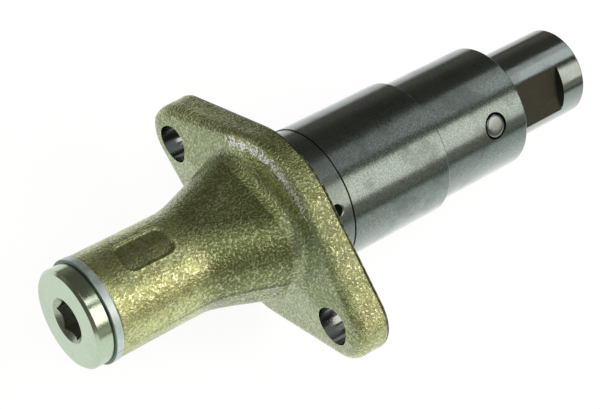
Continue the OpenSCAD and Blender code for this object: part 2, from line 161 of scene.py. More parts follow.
class TurnedShape(bpy.types.PropertyGroup):
    """Sizes of the turned pieces."""

    collar_chamfer: length("Collar chamfer", "Chamfer of the plug's collar", 0.75)
    collar_thickness: length("Collar thickness", "Thickness of the plug's collar", 4.4)
    socket_flat: length("Socket flat", "Half the socket's width across flats", 4.5)
    socket_depth: length("Socket depth", "Depth of the hexagon socket", 7)
    socket_turn: bend("Socket turn", "Turn of the hexagon socket", 13)
    socket_mouth: length("Socket mouth", "Radius of the socket's chamfered mouth", 5.776)
    thread_pitch: length("Thread pitch", "Pitch of the plug's thread", 1.5)
    thread_relief: length("Thread relief", "Depth of the plug's thread and of the neck behind it", 0.9)
    neck_width: length("Neck width", "Width of the neck behind the thread", 2)
    ring_bore: length("Ring bore", "Bore radius of the seal ring", 10.15)
    nose_radius: length("Nose radius", "Radius of the sleeve's nose", 16.7)
    nose_station: length("Nose station", "Distance from the mating face to the nose", 41.1)
    land_station: length("Land station", "Distance from the mating face to the pilot land", 9.54)
    shank_radius: length("Shank radius", "Radius of the sleeve's shank", 14.5)
    sleeve_bore: length("Sleeve bore", "Radius of the sleeve's bore", 12.03)
    sleeve_chamfer: length("Sleeve chamfer", "Chamfer of the sleeve's edges", 0.5)
    land_chamfer: length("Land chamfer", "Chamfer of the pilot land beside the spigot", 0.08)
    flute_depth: length("Flute depth", "Depth of the oil flute along the shank", 1.2)
    pin_angle: bend("Pin angle", "Angle of the stop pin above the bolt line", 42)
    pin_station: length("Pin station", "Distance from the mating face to the stop pin", 59.3)
    pin_radius: length("Pin radius", "Radius of the stop pin", 3)
    pin_end: length("Pin end", "Distance of the pin's inner end from the axis", 11)
    pin_groove: length("Pin groove", "Width of the groove about the pin", 0.5)
    pin_dome: length("Pin dome", "Height of the pin's dome above the nose", 0.2)
    spring_bore: length("Spring bore", "Radius of the plunger's spring bore", 8.5)
    tip_wall: length("Tip wall", "Thickness of the plunger's solid tip", 9)
    tip_chamfer: length("Tip chamfer", "Chamfer at the plunger's tip", 0.8)
    flat_height: length("Flat height", "Distance of the milled flat from the axis", 10.2)
    flat_start: length("Flat start", "Station of the flat's rear shoulder", 56.2)
    flat_end: length("Flat end", "Station of the flat's front shoulder", 88.7)
    flat_roll: bend("Flat roll", "Turn of the flat against the stop pin", 7)
    fit_gap: length("Fit gap", "Radial gap of pressed and screwed pieces", 0.02)


class SpringShape(bpy.types.PropertyGroup):
    """Sizes of the two springs."""

    main_wire: length("Main wire", "Wire radius of the main spring", 0.8)
    main_turns: IntProperty(name="Main turns", description="Open turns of the main spring", default=15)
    ball_wire: length("Ball wire", "Wire radius of the ball spring", 0.18)
    ball_turns: IntProperty(name="Ball turns", description="Open turns of the ball spring", default=3)
    closed_spread: share("Closed spread", "Pitch of the closed end turns in wire diameters", 1.08)


class FinishColours(bpy.types.PropertyGroup):
    """Colours of the finishes."""

    gold: tint("Gold plating", "Yellow zinc plating where it lies thick", (0.645, 0.705, 0.30))
    olive: tint("Olive plating", "Yellow zinc plating where it lies thin", (0.42, 0.49, 0.19))
    thin: tint("Thin plating", "Greyer plating on the flange's face", (0.31, 0.38, 0.205))
    # Painted shade: darker plating on the flare and on the upper wall.
    painted_shade: tint("Dull plating", "Darker plating on the flare and the upper wall", (0.18, 0.225, 0.075))
    brown: tint("Brown plating", "Darker patches in the plating", (0.30, 0.275, 0.105))
    # Lighter grain tops: partly grain tone and partly painted glints.
    pale_grain_and_glint: tint("Pale plating", "Pale tops of the sand grain", (0.86, 0.90, 0.58))
    # Rubbed-off metal on the flange's edge, brightened into a painted highlight.
    worn_and_glint: tint("Worn edge", "Bright metal where the plating is rubbed off", (0.96, 0.97, 0.90))
    # Near-black for painted shade in the sand's hollows, along the parting line, in the recessed panel and
    # at the seal ring's front edge, and for a darker base side and a dark line on the seal ring.
    shade_and_dark_lines: tint("Crevice", "Dirt in hollows and along the mould's parting line", (0.035, 0.036, 0.022))
    zinc: tint("Bright zinc", "Plating of the screw plug", (0.585, 0.73, 0.53))
    aluminium: tint("Aluminium", "Seal ring", (0.80, 0.95, 0.92))
    socket: tint("Socket", "Oily walls of the hexagon socket", (0.50, 0.52, 0.46))
    socket_edge: tint("Socket edge", "Dull chamfer of the hexagon socket", (0.46, 0.52, 0.40))
    ground: tint("Ground steel", "Sleeve and spigot", (0.152, 0.200, 0.172))
    # Near-black painted shade in the groove about the pin and on the flute's cut faces.
    groove: tint("Oily groove", "Groove about the pin and the oil flute", (0.03, 0.032, 0.028))
    polished: tint("Polished steel", "Plunger", (0.245, 0.295, 0.268))
    pin: tint("Pin steel", "Stop pin", (0.235, 0.275, 0.245))
    milled: tint("Milled steel", "Flat on the plunger", (0.078, 0.076, 0.054))
    drilled: tint("Drilled holes", "Walls of the bolt holes", (0.28, 0.30, 0.295))
    # Machined wall of the feed hole, lightened as a painted highlight.
    bored_and_lit: tint("Feed hole", "Fresh wall of the oil feed hole", (0.62, 0.65, 0.60))
    wire: tint("Spring wire", "Both springs", (0.30, 0.30, 0.30))
    plastic: tint("Black plastic", "Filler inside the main spring", (0.022, 0.022, 0.024))
    rubber: tint("Seal rubber", "Ring seal of the valve", (0.018, 0.018, 0.02))
    seat: tint("Turned steel", "Valve seat", (0.38, 0.37, 0.35))
    ball: tint("Ball steel", "Check ball", (0.55, 0.55, 0.55))
    cage: tint("Pressed steel", "Ball cage", (0.44, 0.42, 0.34))


class StudioSetup(bpy.types.PropertyGroup):
    """Floor, lamps and camera."""

    floor_drop: length("Floor drop", "Distance of the floor below the object", 0.3)
    # The floor's fade from white to the room's level is a painted pool of light.
    pool_inner: length("Pool radius", "Radius of the white part of the floor", 200)
    pool_outer: length("Pool edge", "Radius where the floor has faded", 480)
    room: share("Room level", "Brightness of the dark room about the object", 0.076)
    horizon: share("Horizon level", "Brightness added along the horizon", 0.08)
    horizon_front: share("Front horizon level", "Brightness added along the horizon in front", 0.18)
    front_light: share("Front softbox", "Brightness of the softbox in front", 2.2)
    rear_light: share("Rear softbox", "Brightness of the softbox behind the tip", 1.3)
    fill_light: share("Overhead softbox", "Brightness of the wide softbox above the plug", 1.1)
    front_tone: tint("Front tone", "Warm light of the softbox in front", (1.0, 0.905, 0.855))
    rear_tone: tint("Rear tone", "Light of the softbox behind the tip", (1.0, 0.945, 1.0))
    fill_tone: tint("Overhead tone", "Light of the wide softbox above the plug", (0.95, 1.0, 0.96))
    lens: FloatProperty(name="Lens", description="Camera's focal length in millimetres", default=104.04)


def settings():
    """The scene's own copy of every property group."""
    scene = bpy.context.scene
    return scene.tensioner_casting, scene.tensioner_turned, scene.tensioner_springs, scene.tensioner_colours


# Mesh helpers

def span(node):
    """First station, last station and radius of a solid on the X axis."""
    low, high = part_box(node)
    return low.x, high.x, (high.y - low.y) / 2


def link(name, mesh):
    """New object in the scene."""
    piece = bpy.data.objects.new(name, mesh)
    bpy.context.scene.collection.objects.link(piece)
    return piece


def angles(count, extra=()):
    """Even angles round the axis, with some exact ones among them."""
    even = np.arange(count) * TURN / count
    exact = np.mod(np.array(extra, float), TURN)
    near = np.abs((even[:, None] - exact[None, :] + math.pi) % TURN - math.pi).min(1, initial=TURN)
    return np.sort(np.concatenate([even[near > 0.3 * TURN / count], exact]))


def ring(theta, x, r):
    """Points of one ring about the X axis."""
    x = np.broadcast_to(x, theta.shape)
    r = np.broadcast_to(r, theta.shape)
    return np.stack([x, r * np.cos(theta), r * np.sin(theta)], 1)


def loft(name, rings, closed=False, slots=None):
    """Mesh between rings of points, with a material slot for each band between two rings."""
    rings = np.array(rings)
    rows, count = rings.shape[:2]
    bands = np.arange(rows if closed else rows - 1)
    a = bands[:, None] * count + np.arange(count)[None, :]
    b = bands[:, None] * count + (np.arange(count)[None, :] + 1) % count
    step = np.where(bands == rows - 1, -(rows - 1) * count, count)[:, None]
    quads = np.stack([a, b, b + step, a + step], -1).reshape(-1, 4)
    mesh = bpy.data.meshes.new(name)
    mesh.from_pydata(rings.reshape(-1, 3).tolist(), [], quads.tolist())
    if slots is not None:
        mesh.polygons.foreach_set("material_index", np.repeat(np.array(slots, np.int32), count))
    weld(mesh)
    return mesh


def weld(mesh):
    """Merges doubled points, drops flat faces and turns the normals outwards."""
    work = bmesh.new()
    work.from_mesh(mesh)
    bmesh.ops.remove_doubles(work, verts=work.verts, dist=1e-7)
    bmesh.ops.dissolve_degenerate(work, edges=work.edges, dist=1e-8)
    bmesh.ops.recalc_face_normals(work, faces=work.faces)
    work.to_mesh(mesh)
    work.free()
    mesh.update()


def rounded(corners, closed=False, steps=4, guard=0.06 * MM):
    """Profile through corners of x, r and rounding, each arc with a short guard span beside it."""
    profile = []
    count = len(corners)
    for i, (x, r, radius) in enumerate(corners):
        here = np.array([x, r])
        if radius <= 0 or (not closed and i in (0, count - 1)):
            profile.append(here)
            continue
        before = here - np.array(corners[i - 1][:2])
        after = np.array(corners[(i + 1) % count][:2]) - here
        before /= np.linalg.norm(before)
        after /= np.linalg.norm(after)
        turn = math.acos(float(np.clip(before @ after, -1, 1)))
        reach = radius * math.tan(turn / 2)
        inward = (after - before) / np.linalg.norm(after - before)
        centre = here + inward * radius / math.cos(turn / 2)
        profile.append(here - before * (reach + guard))
        for k in range(steps + 1):
            swing = turn * (k / steps - 0.5)
            along = (before + after) / np.linalg.norm(before + after)
            profile.append(centre + radius * (math.sin(swing) * along - math.cos(swing) * inward))
        profile.append(here + after * (reach + guard))
    return profile


def turned(name, corners, closed=False, count=256):
    """Round mesh on the X axis from a profile of corners."""
    theta = angles(count)
    return loft(name, [ring(theta, x, r) for x, r in rounded(corners, closed)], closed)


def dress(mesh, *materials):
    """Gives a mesh its materials, in the order of its slots."""
    for material in materials:
        mesh.materials.append(material)


def crisp(mesh, limit=32):
    """Smooth shading that keeps edges sharper than a limit in degrees."""
    mesh.shade_smooth()
    mesh.set_sharp_from_angle(angle=math.radians(limit))


def side_matrix(angle):
    """Turns +Z to the side that lies at an angle above -Y."""
    return Matrix.Rotation(math.pi / 2 - angle, 4, "X")


def drill(profile, station, matrix, count=64):
    """Round cutter along its own +Z axis, from points of height and radius, set at a station on X."""
    theta = angles(count)
    rings = [np.stack([r * np.cos(theta), r * np.sin(theta), np.full(count, h)], 1) for h, r in profile]
    mesh = loft("cutter", rings)
    mesh.transform(matrix @ Matrix.Translation((station, 0, 0)))
    return mesh


def block(low, high, matrix):
    """Box cutter between two corners."""
    mesh = bpy.data.meshes.new("cutter")
    work = bmesh.new()
    middle = (Vector(low) + Vector(high)) / 2
    place = Matrix.Translation(middle) @ Matrix.Diagonal((*(Vector(high) - Vector(low)), 1))
    bmesh.ops.create_cube(work, size=1, matrix=place)
    work.to_mesh(mesh)
    work.free()
    mesh.transform(matrix)
    return mesh


def cut(piece, cutters, slot=0):
    """Takes the cutters out of a piece and gives the cut faces a material slot."""
    work = bmesh.new()
    for mesh in cutters:
        work.from_mesh(mesh)
        bpy.data.meshes.remove(mesh)
    bmesh.ops.recalc_face_normals(work, faces=work.faces)
    for face in work.faces:
        face.material_index = slot
    joined = bpy.data.meshes.new("cutters")
    work.to_mesh(joined)
    work.free()
    dress(joined, *piece.data.materials)
    tool = link("cutters", joined)
    modifier = piece.modifiers.new("Cut", "BOOLEAN")
    modifier.object = tool
    modifier.operation = "DIFFERENCE"
    modifier.solver = "EXACT"
    settle(piece)
    bpy.data.objects.remove(tool)
    bpy.data.meshes.remove(joined)


def settle(piece):
    """Turns the evaluated piece into a plain mesh and removes its modifiers."""
    graph = bpy.context.evaluated_depsgraph_get()
    graph.update()
    mesh = bpy.data.meshes.new_from_object(piece.evaluated_get(graph), depsgraph=graph)
    old = piece.data
    piece.modifiers.clear()
    piece.data = mesh
    mesh.name = piece.name
    bpy.data.meshes.remove(old)


def hand_over(piece, body, slot, *nodes):
    """Moves a finished piece to the plunger's axis and sets it on its body in place of its solids."""
    piece.data.transform(Matrix.Translation(AXIS))
    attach(piece, body)
    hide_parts(*nodes)


# Node helpers

def node(tree, kind, inputs=None, **settings_of_node):
    """New node with its settings, and with each input set or linked."""
    made = tree.nodes.new(kind)
    for key, value in settings_of_node.items():
        setattr(made, key, value)
    for key, value in (inputs or {}).items():
        if isinstance(value, bpy.types.NodeSocket):
            tree.links.new(value, made.inputs[key])
        else:
            made.inputs[key].default_value = value
    return made


def math_node(tree, operation, *values):
    """Result of a Math node."""
    return node(tree, "ShaderNodeMath", dict(enumerate(values)), operation=operation).outputs[0]


def vector_node(tree, operation, *values):
    """Result of a Vector Math node."""
    return node(tree, "ShaderNodeVectorMath", dict(enumerate(values)), operation=operation).outputs[0]


def mapped(tree, value, low, high, to_low=0.0, to_high=1.0, smooth=True):
    """Value mapped from one range to another."""
    kind = "SMOOTHSTEP" if smooth else "LINEAR"
    inputs = {0: value, 1: low, 2: high, 3: to_low, 4: to_high}
    return node(tree, "ShaderNodeMapRange", inputs, interpolation_type=kind).outputs[0]


def blended(tree, factor, first, second, kind="MIX"):
    """Mix of two colours."""
    made = node(tree, "ShaderNodeMix", {0: factor, 6: first, 7: second}, data_type="RGBA", blend_type=kind)
    return made.outputs[2]


def opaque(colour):
    """Colour with full alpha."""
    return (*colour, 1.0)


def numbers(**defaults):
    """Number sockets of a node group, each with its default."""
    return [(label.replace("_", " "), "NodeSocketFloat", value) for label, value in defaults.items()]


def group_tree(name, kind, inputs, output):
    """New node group with named inputs and one output, its input node and its output node."""
    tree = bpy.data.node_groups.new(name, kind)
    for label, socket, value in inputs:
        made = tree.interface.new_socket(label, in_out="INPUT", socket_type=socket)
        if value is not None:
            made.default_value = value
    tree.interface.new_socket(output[0], in_out="OUTPUT", socket_type=output[1])
    return tree, tree.nodes.new("NodeGroupInput"), tree.nodes.new("NodeGroupOutput")


def speckle_group():
    """Even speckle of one size, for sand grain, mottling and smudges."""
    found = bpy.data.node_groups.get("Speckle")
    if found:
        return found
    inputs = numbers(Size=0.001, Detail=2.0, Low=0.35, High=0.65, Offset=0.0)
    tree, source, sink = group_tree("Speckle", "ShaderNodeTree", inputs, MASK_SOCKET)
    place = node(tree, "ShaderNodeTexCoord").outputs["Object"]
    moved = vector_node(tree, "ADD", place, source.outputs["Offset"])
    scale = math_node(tree, "DIVIDE", 1.0, source.outputs["Size"])
    pattern = {"Vector": moved, "Scale": scale, "Detail": source.outputs["Detail"]}
    noise = node(tree, "ShaderNodeTexNoise", pattern)
    mask = mapped(tree, noise.outputs["Fac"], source.outputs["Low"], source.outputs["High"])
    tree.links.new(mask, sink.inputs["Mask"])
    return tree


def turning_group():
    """Fine lines round the X axis, as turning and grinding leave them."""
    found = bpy.data.node_groups.get("Turning marks")
    if found:
        return found
    inputs = numbers(Width=0.0002, Reach=6.0)
    tree, source, sink = group_tree("Turning marks", "ShaderNodeTree", inputs, MASK_SOCKET)
    place = vector_node(tree, "SUBTRACT", node(tree, "ShaderNodeTexCoord").outputs["Object"], AXIS)
    parts = node(tree, "ShaderNodeSeparateXYZ", {0: place}).outputs
    flat = node(tree, "ShaderNodeCombineXYZ", {1: parts[1], 2: parts[2]}).outputs[0]
    radius = node(tree, "ShaderNodeVectorMath", {0: flat}, operation="LENGTH").outputs["Value"]
    round_way = node(tree, "ShaderNodeSeparateXYZ", {0: vector_node(tree, "NORMALIZE", flat)}).outputs
    depth = math_node(tree, "ADD", parts[0], radius)
    line = math_node(tree, "DIVIDE", depth, source.outputs["Width"])
    across = math_node(tree, "MULTIPLY", round_way[1], source.outputs["Reach"])
    upward = math_node(tree, "MULTIPLY", round_way[2], source.outputs["Reach"])
    spread = node(tree, "ShaderNodeCombineXYZ", {0: line, 1: across, 2: upward}).outputs[0]
    noise = node(tree, "ShaderNodeTexNoise", {"Vector": spread, "Scale": 1.0, "Detail": 2.0})
    tree.links.new(noise.outputs["Fac"], sink.inputs["Mask"])
    return tree


def use(tree, group, **inputs):
    """Mask that a node group puts out."""
    return node(tree, "ShaderNodeGroup", inputs, node_tree=group).outputs["Mask"]


def attribute(tree, name):
    """Number that the mesh keeps for each point."""
    return node(tree, "ShaderNodeAttribute", attribute_name=name).outputs["Fac"]


def new_material(name, colour, metallic=1.0, roughness=0.3, coat=0.0):
    """Material with one Principled shader, its node tree and that shader."""
    material = bpy.data.materials.new(name)
    material.use_nodes = True
    tree = material.node_tree
    shader = tree.nodes["Principled BSDF"]
    shader.inputs["Base Color"].default_value = opaque(colour)
    shader.inputs["Metallic"].default_value = metallic
    shader.inputs["Roughness"].default_value = roughness
    shader.inputs["Coat Weight"].default_value = coat
    shader.inputs["Coat Roughness"].default_value = 0.16
    material.diffuse_color = opaque(colour)
    return material, tree, shader


def bump(tree, shader, height, strength, depth):
    """Bump from a height mask on a shader's normal."""
    made = node(tree, "ShaderNodeBump", {"Height": height, "Strength": strength, "Distance": depth})
    tree.links.new(made.outputs["Normal"], shader.inputs["Normal"])


# Finishes

def plated_casting(colours):
    """Rough sand casting under yellow zinc plating, with brown patches, grain tops that are partly painted
    glints, rubbed edges brightened to a painted highlight, and painted shade on the flare, the upper wall,
    the sand's hollows, the parting line and the panel.
    """
    material, tree, shader = new_material("plated_casting", colours.gold, metallic=0.84, coat=0.4)
    speckle = speckle_group()
    broad = use(tree, speckle, Size=0.011, Detail=4.0, Low=0.34, High=0.66)
    patch = use(tree, speckle, Size=0.0030, Detail=3.0, Low=0.46, High=0.66, Offset=0.83)
    grain = use(tree, speckle, Size=0.0011, Detail=3.0, Low=0.30, High=0.70, Offset=0.31)
    sand = use(tree, speckle, Size=0.0006, Detail=2.0, Low=0.30, High=0.70, Offset=0.57)
    base = blended(tree, broad, opaque(colours.olive), opaque(colours.gold))
    base = blended(tree, math_node(tree, "MULTIPLY", patch, 0.55), base, opaque(colours.brown))
    # Painted shade on the flare and the upper wall.
    painted_shade = attribute(tree, "painted_shade")
    base = blended(tree, painted_shade, base, opaque(colours.painted_shade))
    thin = attribute(tree, "thin")
    base = blended(tree, thin, base, opaque(colours.thin))
    # Painted shade in the sand's hollows.
    hollows = mapped(tree, sand, 0.05, 0.40, 0.30, 0.0)
    base = blended(tree, hollows, base, opaque(colours.shade_and_dark_lines))
    even = mapped(tree, thin, 0.0, 1.0, 1.0, 0.55)
    even = math_node(tree, "MULTIPLY", even, mapped(tree, painted_shade, 0.0, 1.0, 1.0, 0.7))
    # Lighter grain tops, partly grain tone and partly painted glints.
    tops = math_node(tree, "MULTIPLY", mapped(tree, sand, 0.6, 0.95, 0.0, 0.65), even)
    skin = blended(tree, tops, base, opaque(colours.pale_grain_and_glint))
    # Rubbed-off metal on the flange's edge, its colour raised to a painted highlight.
    worn_and_glint = attribute(tree, "worn_and_glint")
    uneven = math_node(tree, "MULTIPLY", math_node(tree, "ADD", sand, grain), 0.5)
    uneven = math_node(tree, "ADD", uneven, mapped(tree, patch, 0.0, 1.0, 0.05, -0.15))
    patchy = math_node(tree, "ADD", math_node(tree, "MULTIPLY", worn_and_glint, 0.45), uneven)
    near_edge = mapped(tree, worn_and_glint, 0.02, 0.3)
    rubbed = math_node(tree, "MULTIPLY", mapped(tree, patchy, 0.68, 0.86), near_edge)
    skin = blended(tree, rubbed, skin, opaque(colours.worn_and_glint))
    broken = mapped(tree, grain, 0.0, 0.8, 1.0, 0.7)
    # Painted shade along the parting line and in the recessed panel, and a darker machined base side.
    crease_shade = math_node(tree, "MULTIPLY", attribute(tree, "crease"), broken)
    skin = blended(tree, crease_shade, skin, opaque(colours.shade_and_dark_lines))
    tree.links.new(skin, shader.inputs["Base Color"])
    rough = mapped(tree, sand, 0.0, 1.0, 0.38, 0.26)
    tree.links.new(mapped(tree, rubbed, 0.0, 1.0, rough, 0.14), shader.inputs["Roughness"])
    height = math_node(tree, "ADD", math_node(tree, "MULTIPLY", grain, 0.35), sand)
    bump(tree, shader, math_node(tree, "MULTIPLY", height, attribute(tree, "coarse")), 1.0, 0.00007)
    return material


def turned_steel(name, colour, roughness, width=0.0003, marks=0.04, grain=0.09, smudges=0.1, coat=0.0):
    """Turned or ground metal with fine lines, a light grain and dim smudges."""
    material, tree, shader = new_material(name, colour, roughness=roughness, coat=coat)
    lines = use(tree, turning_group(), Width=width, Reach=10.0)
    specks = use(tree, speckle_group(), Size=0.0004, Detail=3.0, Low=0.3, High=0.7)
    clean = use(tree, speckle_group(), Size=0.008, Detail=4.0, Low=0.32, High=0.56, Offset=0.23)
    level = math_node(tree, "ADD", mapped(tree, lines, 0.3, 0.7, 1 - marks, 1 + marks),
                      mapped(tree, specks, 0.0, 1.0, -grain, grain))
    shine = mapped(tree, clean, 0.0, 1.0, 1 - smudges, 1 + 0.3 * smudges)
    level = math_node(tree, "MULTIPLY", level, shine)
    tone = node(tree, "ShaderNodeCombineColor", {0: level, 1: level, 2: level}).outputs[0]
    tree.links.new(blended(tree, 1.0, opaque(colour), tone, "MULTIPLY"), shader.inputs["Base Color"])
    rough = mapped(tree, clean, 0.0, 1.0, roughness + 0.05, roughness - 0.01)
    rough = math_node(tree, "ADD", rough, mapped(tree, lines, 0.3, 0.7, -0.02, 0.02))
    tree.links.new(rough, shader.inputs["Roughness"])
    height = math_node(tree, "ADD", math_node(tree, "MULTIPLY", lines, 25 * marks), specks)
    bump(tree, shader, height, 0.12, 0.00003)
    return material


def soft_aluminium(colours, front):
    """Matt pressed ring with a mottled skin, painted shade at its front edge and a dark line along one side.
    """
    material, tree, shader = new_material("soft_aluminium", colours.aluminium, 0.75, 0.42, 0.5)
    patch = use(tree, speckle_group(), Size=0.0022, Detail=3.0, Low=0.32, High=0.68)
    fine = use(tree, speckle_group(), Size=0.0004, Detail=2.0, Low=0.3, High=0.7, Offset=0.4)
    dim = tuple(0.80 * value for value in colours.aluminium)
    skin = blended(tree, patch, opaque(dim), opaque(colours.aluminium))
    place = node(tree, "ShaderNodeTexCoord").outputs["Object"]
    along, aside, upward = node(tree, "ShaderNodeSeparateXYZ", {0: place}).outputs
    # Painted shade at the ring's front edge, and a dark line along its -Y side.
    oil = mapped(tree, along, front + 0.05 * MM, front + 0.32 * MM, 0.8, 0.0)
    off_seam = math_node(tree, "ABSOLUTE", math_node(tree, "SUBTRACT", upward, AXIS.z + 0.3 * MM))
    seam = math_node(tree, "MULTIPLY", mapped(tree, off_seam, 0.04 * MM, 0.16 * MM, 0.6, 0.0),
                     math_node(tree, "LESS_THAN", aside, 0.0))
    oil = math_node(tree, "MAXIMUM", oil, seam)
    tree.links.new(blended(tree, oil, skin, opaque(colours.shade_and_dark_lines)), shader.inputs["Base Color"])
    tree.links.new(mapped(tree, patch, 0.0, 1.0, 0.38, 0.50), shader.inputs["Roughness"])
    bump(tree, shader, fine, 0.15, 0.00004)
    return material


def moulded(name, colour, roughness):
    """Moulded plastic or rubber with a fine grain."""
    material, tree, shader = new_material(name, colour, 0.0, roughness)
    grain = use(tree, speckle_group(), Size=0.0005, Detail=2.0, Low=0.3, High=0.7)
    pale_grain_and_glint = tuple(1.6 * value for value in colour)
    tree.links.new(blended(tree, grain, opaque(colour), opaque(pale_grain_and_glint)), shader.inputs["Base Color"])
    rough = mapped(tree, grain, 0.0, 1.0, roughness - 0.05, roughness + 0.08)
    tree.links.new(rough, shader.inputs["Roughness"])
    bump(tree, shader, grain, 0.2, 0.00003)
    return material


# Casting

def flange_outline(theta, shape, inset):
    """Distance of the flange's outline from the axis, set in by some amount."""
    reach = BOLTS["spacing_x_mm"] * MM / 2
    waist = shape.waist_radius - inset
    lobe = shape.lobe_radius - inset
    tilt = (shape.waist_radius - shape.lobe_radius) / reach
    rise = math.sqrt(1 - tilt * tilt)
    y, z = np.abs(np.cos(theta)), np.abs(np.sin(theta))
    around = np.arctan2(z, y)
    on_lobe = around < np.arctan2(lobe * rise, reach + lobe * tilt)
    on_waist = around > math.atan2(rise, tilt)
    side = waist / (tilt * y + rise * z)
    tip = reach * y + np.sqrt(np.maximum(lobe ** 2 - (reach * z) ** 2, 0))
    return np.where(on_lobe, tip, np.where(on_waist, waist, side))


def edge_rounding(theta, shape):
    """Rounding of the flange's edge, tight at the top and softer elsewhere."""
    from_top = np.abs((theta - math.pi / 2 + math.pi) % TURN - math.pi)
    tight, soft = math.radians(35), math.radians(65)
    return shape.edge_round + shape.edge_soft * step_between(from_top, tight, soft)


def rubbed_edge(theta):
    """Share of wear on the flange's edge, most at the top."""
    first, last = np.radians([40, 56]), np.radians([112, 135])
    return step_between(theta, *first) * (1 - step_between(theta, *last))


def flare_outline(theta, half_width, half_height, corner):
    """Distance of a rounded rectangle from the axis."""
    y, z = np.abs(np.cos(theta)) + 1e-12, np.abs(np.sin(theta)) + 1e-12
    a, b = half_width - corner, half_height - corner
    along = a * y + b * z
    arc = along + np.sqrt(np.maximum(along ** 2 - a * a - b * b + corner ** 2, 0))
    side, top = half_width / y, half_height / z
    return np.where(side * z < b, side, np.where(top * y < a, top, arc))


def step_between(value, low, high):
    """Smooth step from 0 to 1."""
    t = np.clip((value - low) / (high - low), 0, 1)
    return t * t * (3 - 2 * t)


def polar(theta, r, centre=(0, 0)):
    """Points in the YZ plane at a distance from a centre."""
    return np.stack([centre[0] + r * np.cos(theta), centre[1] + r * np.sin(theta)], 1)


def parting_ridge(z, rise):
    """Ridge where the mould's halves met, shallow above and steep below."""
    return np.interp(z, [-8 * MM, -3.5 * MM, 0, 4 * MM], [0, -1.2 * rise, rise, 0])


def panel_sink(shape, along, across):
    """Depth of the recessed panel at a place beside its middle, less its raised rim."""
    corner, soft = shape.panel_corner, 0.22 * MM
    over_x = np.abs(along) - (shape.panel_length / 2 - corner)
    over_y = np.abs(across) - (shape.panel_width / 2 - corner)
    beyond = np.hypot(np.maximum(over_x, 0), np.maximum(over_y, 0))
    outside = beyond + np.minimum(np.maximum(over_x, over_y), 0) - corner
    rim = shape.panel_rim * np.exp(-((outside / soft - 1.6) / 1.4) ** 2)
    return shape.panel_depth * (1 - step_between(outside, -soft, soft)) - rim


def casting_rings(shape, theta):
    """Rings of the whole casting, from the threaded mouth over the outside and back through the bores."""
    low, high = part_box("housing")
    end, front = low.x, high.x
    slope = math.tan(shape.face_slope)
    bolts = (-AXIS.y, -AXIS.z)
    rings, slots = [], []

    def add(x, yz, slot):
        rings.append(np.column_stack([np.broadcast_to(x, theta.shape), yz]))
        slots.append(slot)

    def face(z):
        return -shape.flange_thickness + np.abs(z) * slope

    def outline(inset):
        return polar(theta, flange_outline(theta, shape, inset), bolts)

    def parted(yz, amount):
        yz[:, 0] += np.sign(yz[:, 0]) * amount * parting_ridge(yz[:, 1], shape.parting_rise)
        return yz

    mouth = shape.thread_radius + shape.mouth_chamfer
    lip = 0.35 * MM
    add(end, polar(theta, mouth), MACHINED)
    add(end, polar(theta, shape.barrel_radius - lip), MACHINED)
    for a in np.radians([30, 60, 90]):
        radius = shape.barrel_radius - lip * (1 - math.sin(a))
        add(end + lip * (1 - math.cos(a)), polar(theta, radius), CAST)

    start = -shape.flare_reach
    panel_x = end + shape.panel_setback + shape.panel_length / 2
    panel_mid = math.pi / 2 - shape.panel_turn
    across = ((theta - panel_mid + math.pi) % TURN - math.pi) * shape.barrel_radius
    on_barrel = 0.3
    for x in np.linspace(end + 2 * lip, start, 84):
        radius = shape.barrel_radius - panel_sink(shape, x - panel_x, across)
        add(x, parted(polar(theta, radius), on_barrel * step_between(x, end, end + 10 * MM)), CAST)

    fillet = shape.foot_fillet
    foot = np.array([shape.flare_half_width, shape.flare_half_height, shape.flare_corner])
    round_start = np.full(3, shape.barrel_radius)
    blend = 0.4
    for t in np.linspace(0, 1, 52)[1:]:
        growth = t * t * (1 + blend) / (t + blend)
        yz = polar(theta, flare_outline(theta, *(round_start + (foot - round_start) * growth)))
        foot_x = face(yz[:, 1] * t) - fillet
        add(start + (foot_x - start) * t, parted(yz, on_barrel + (1 - on_barrel) * t), CAST)
    for a in np.radians([18, 36, 54, 72, 90]):
        yz = polar(theta, flare_outline(theta, *(foot + fillet * (1 - math.cos(a)))))
        add(face(yz[:, 1]) - fillet * (1 - math.sin(a)), parted(yz, 1), CAST)

    inner = yz
    edge_round = edge_rounding(theta, shape)
    edge = outline(edge_round)
    rubbed = shape.rubbed_width * rubbed_edge(theta)
    bevel = math.tan(math.radians(15))
    for t in np.linspace(0, 1, 40)[1:]:
        yz = inner + (edge - inner) * t
        to_edge = np.linalg.norm(edge - yz, axis=1)
        add(face(yz[:, 1]) + bevel * np.maximum(rubbed - to_edge, 0), yz, CAST)
    brink = face(edge[:, 1]) + bevel * rubbed
    for a in np.radians(np.linspace(0, 90, 9)[1:]):
        add(brink + edge_round * (1 - math.cos(a)), outline(edge_round * (1 - math.sin(a))), CAST)
    for t in np.linspace(0, 1, 20)[1:]:
        top = brink + edge_round
        add(top + (-shape.base_height - top) * t, outline(0), CAST)

    base_chamfer = 0.1 * MM
    add(-shape.base_height, outline(shape.base_inset), CAST)
    add(-base_chamfer, outline(shape.base_inset), MACHINED)
    add(0, outline(shape.base_inset + base_chamfer), MACHINED)
    floor, thread_end = -shape.shank_floor, end + shape.thread_depth
    inside = [
        (0, shape.spigot_radius, 0), (front, shape.spigot_radius, shape.spigot_chamfer),
        (front, shape.shank_bore, 0.15 * MM), (floor, shape.shank_bore, 0),
        (floor, shape.reservoir_radius, 0), (thread_end, shape.reservoir_radius, 0),
        (thread_end, shape.thread_radius, 0), (end + shape.mouth_chamfer, shape.thread_radius, 0),
    ]
    for x, r in rounded(inside):
        add(x, polar(theta, r), MACHINED)
    return rings, slots


def bell(value, width):
    """Smooth hump about zero."""
    return np.exp(-(value / width) ** 2)


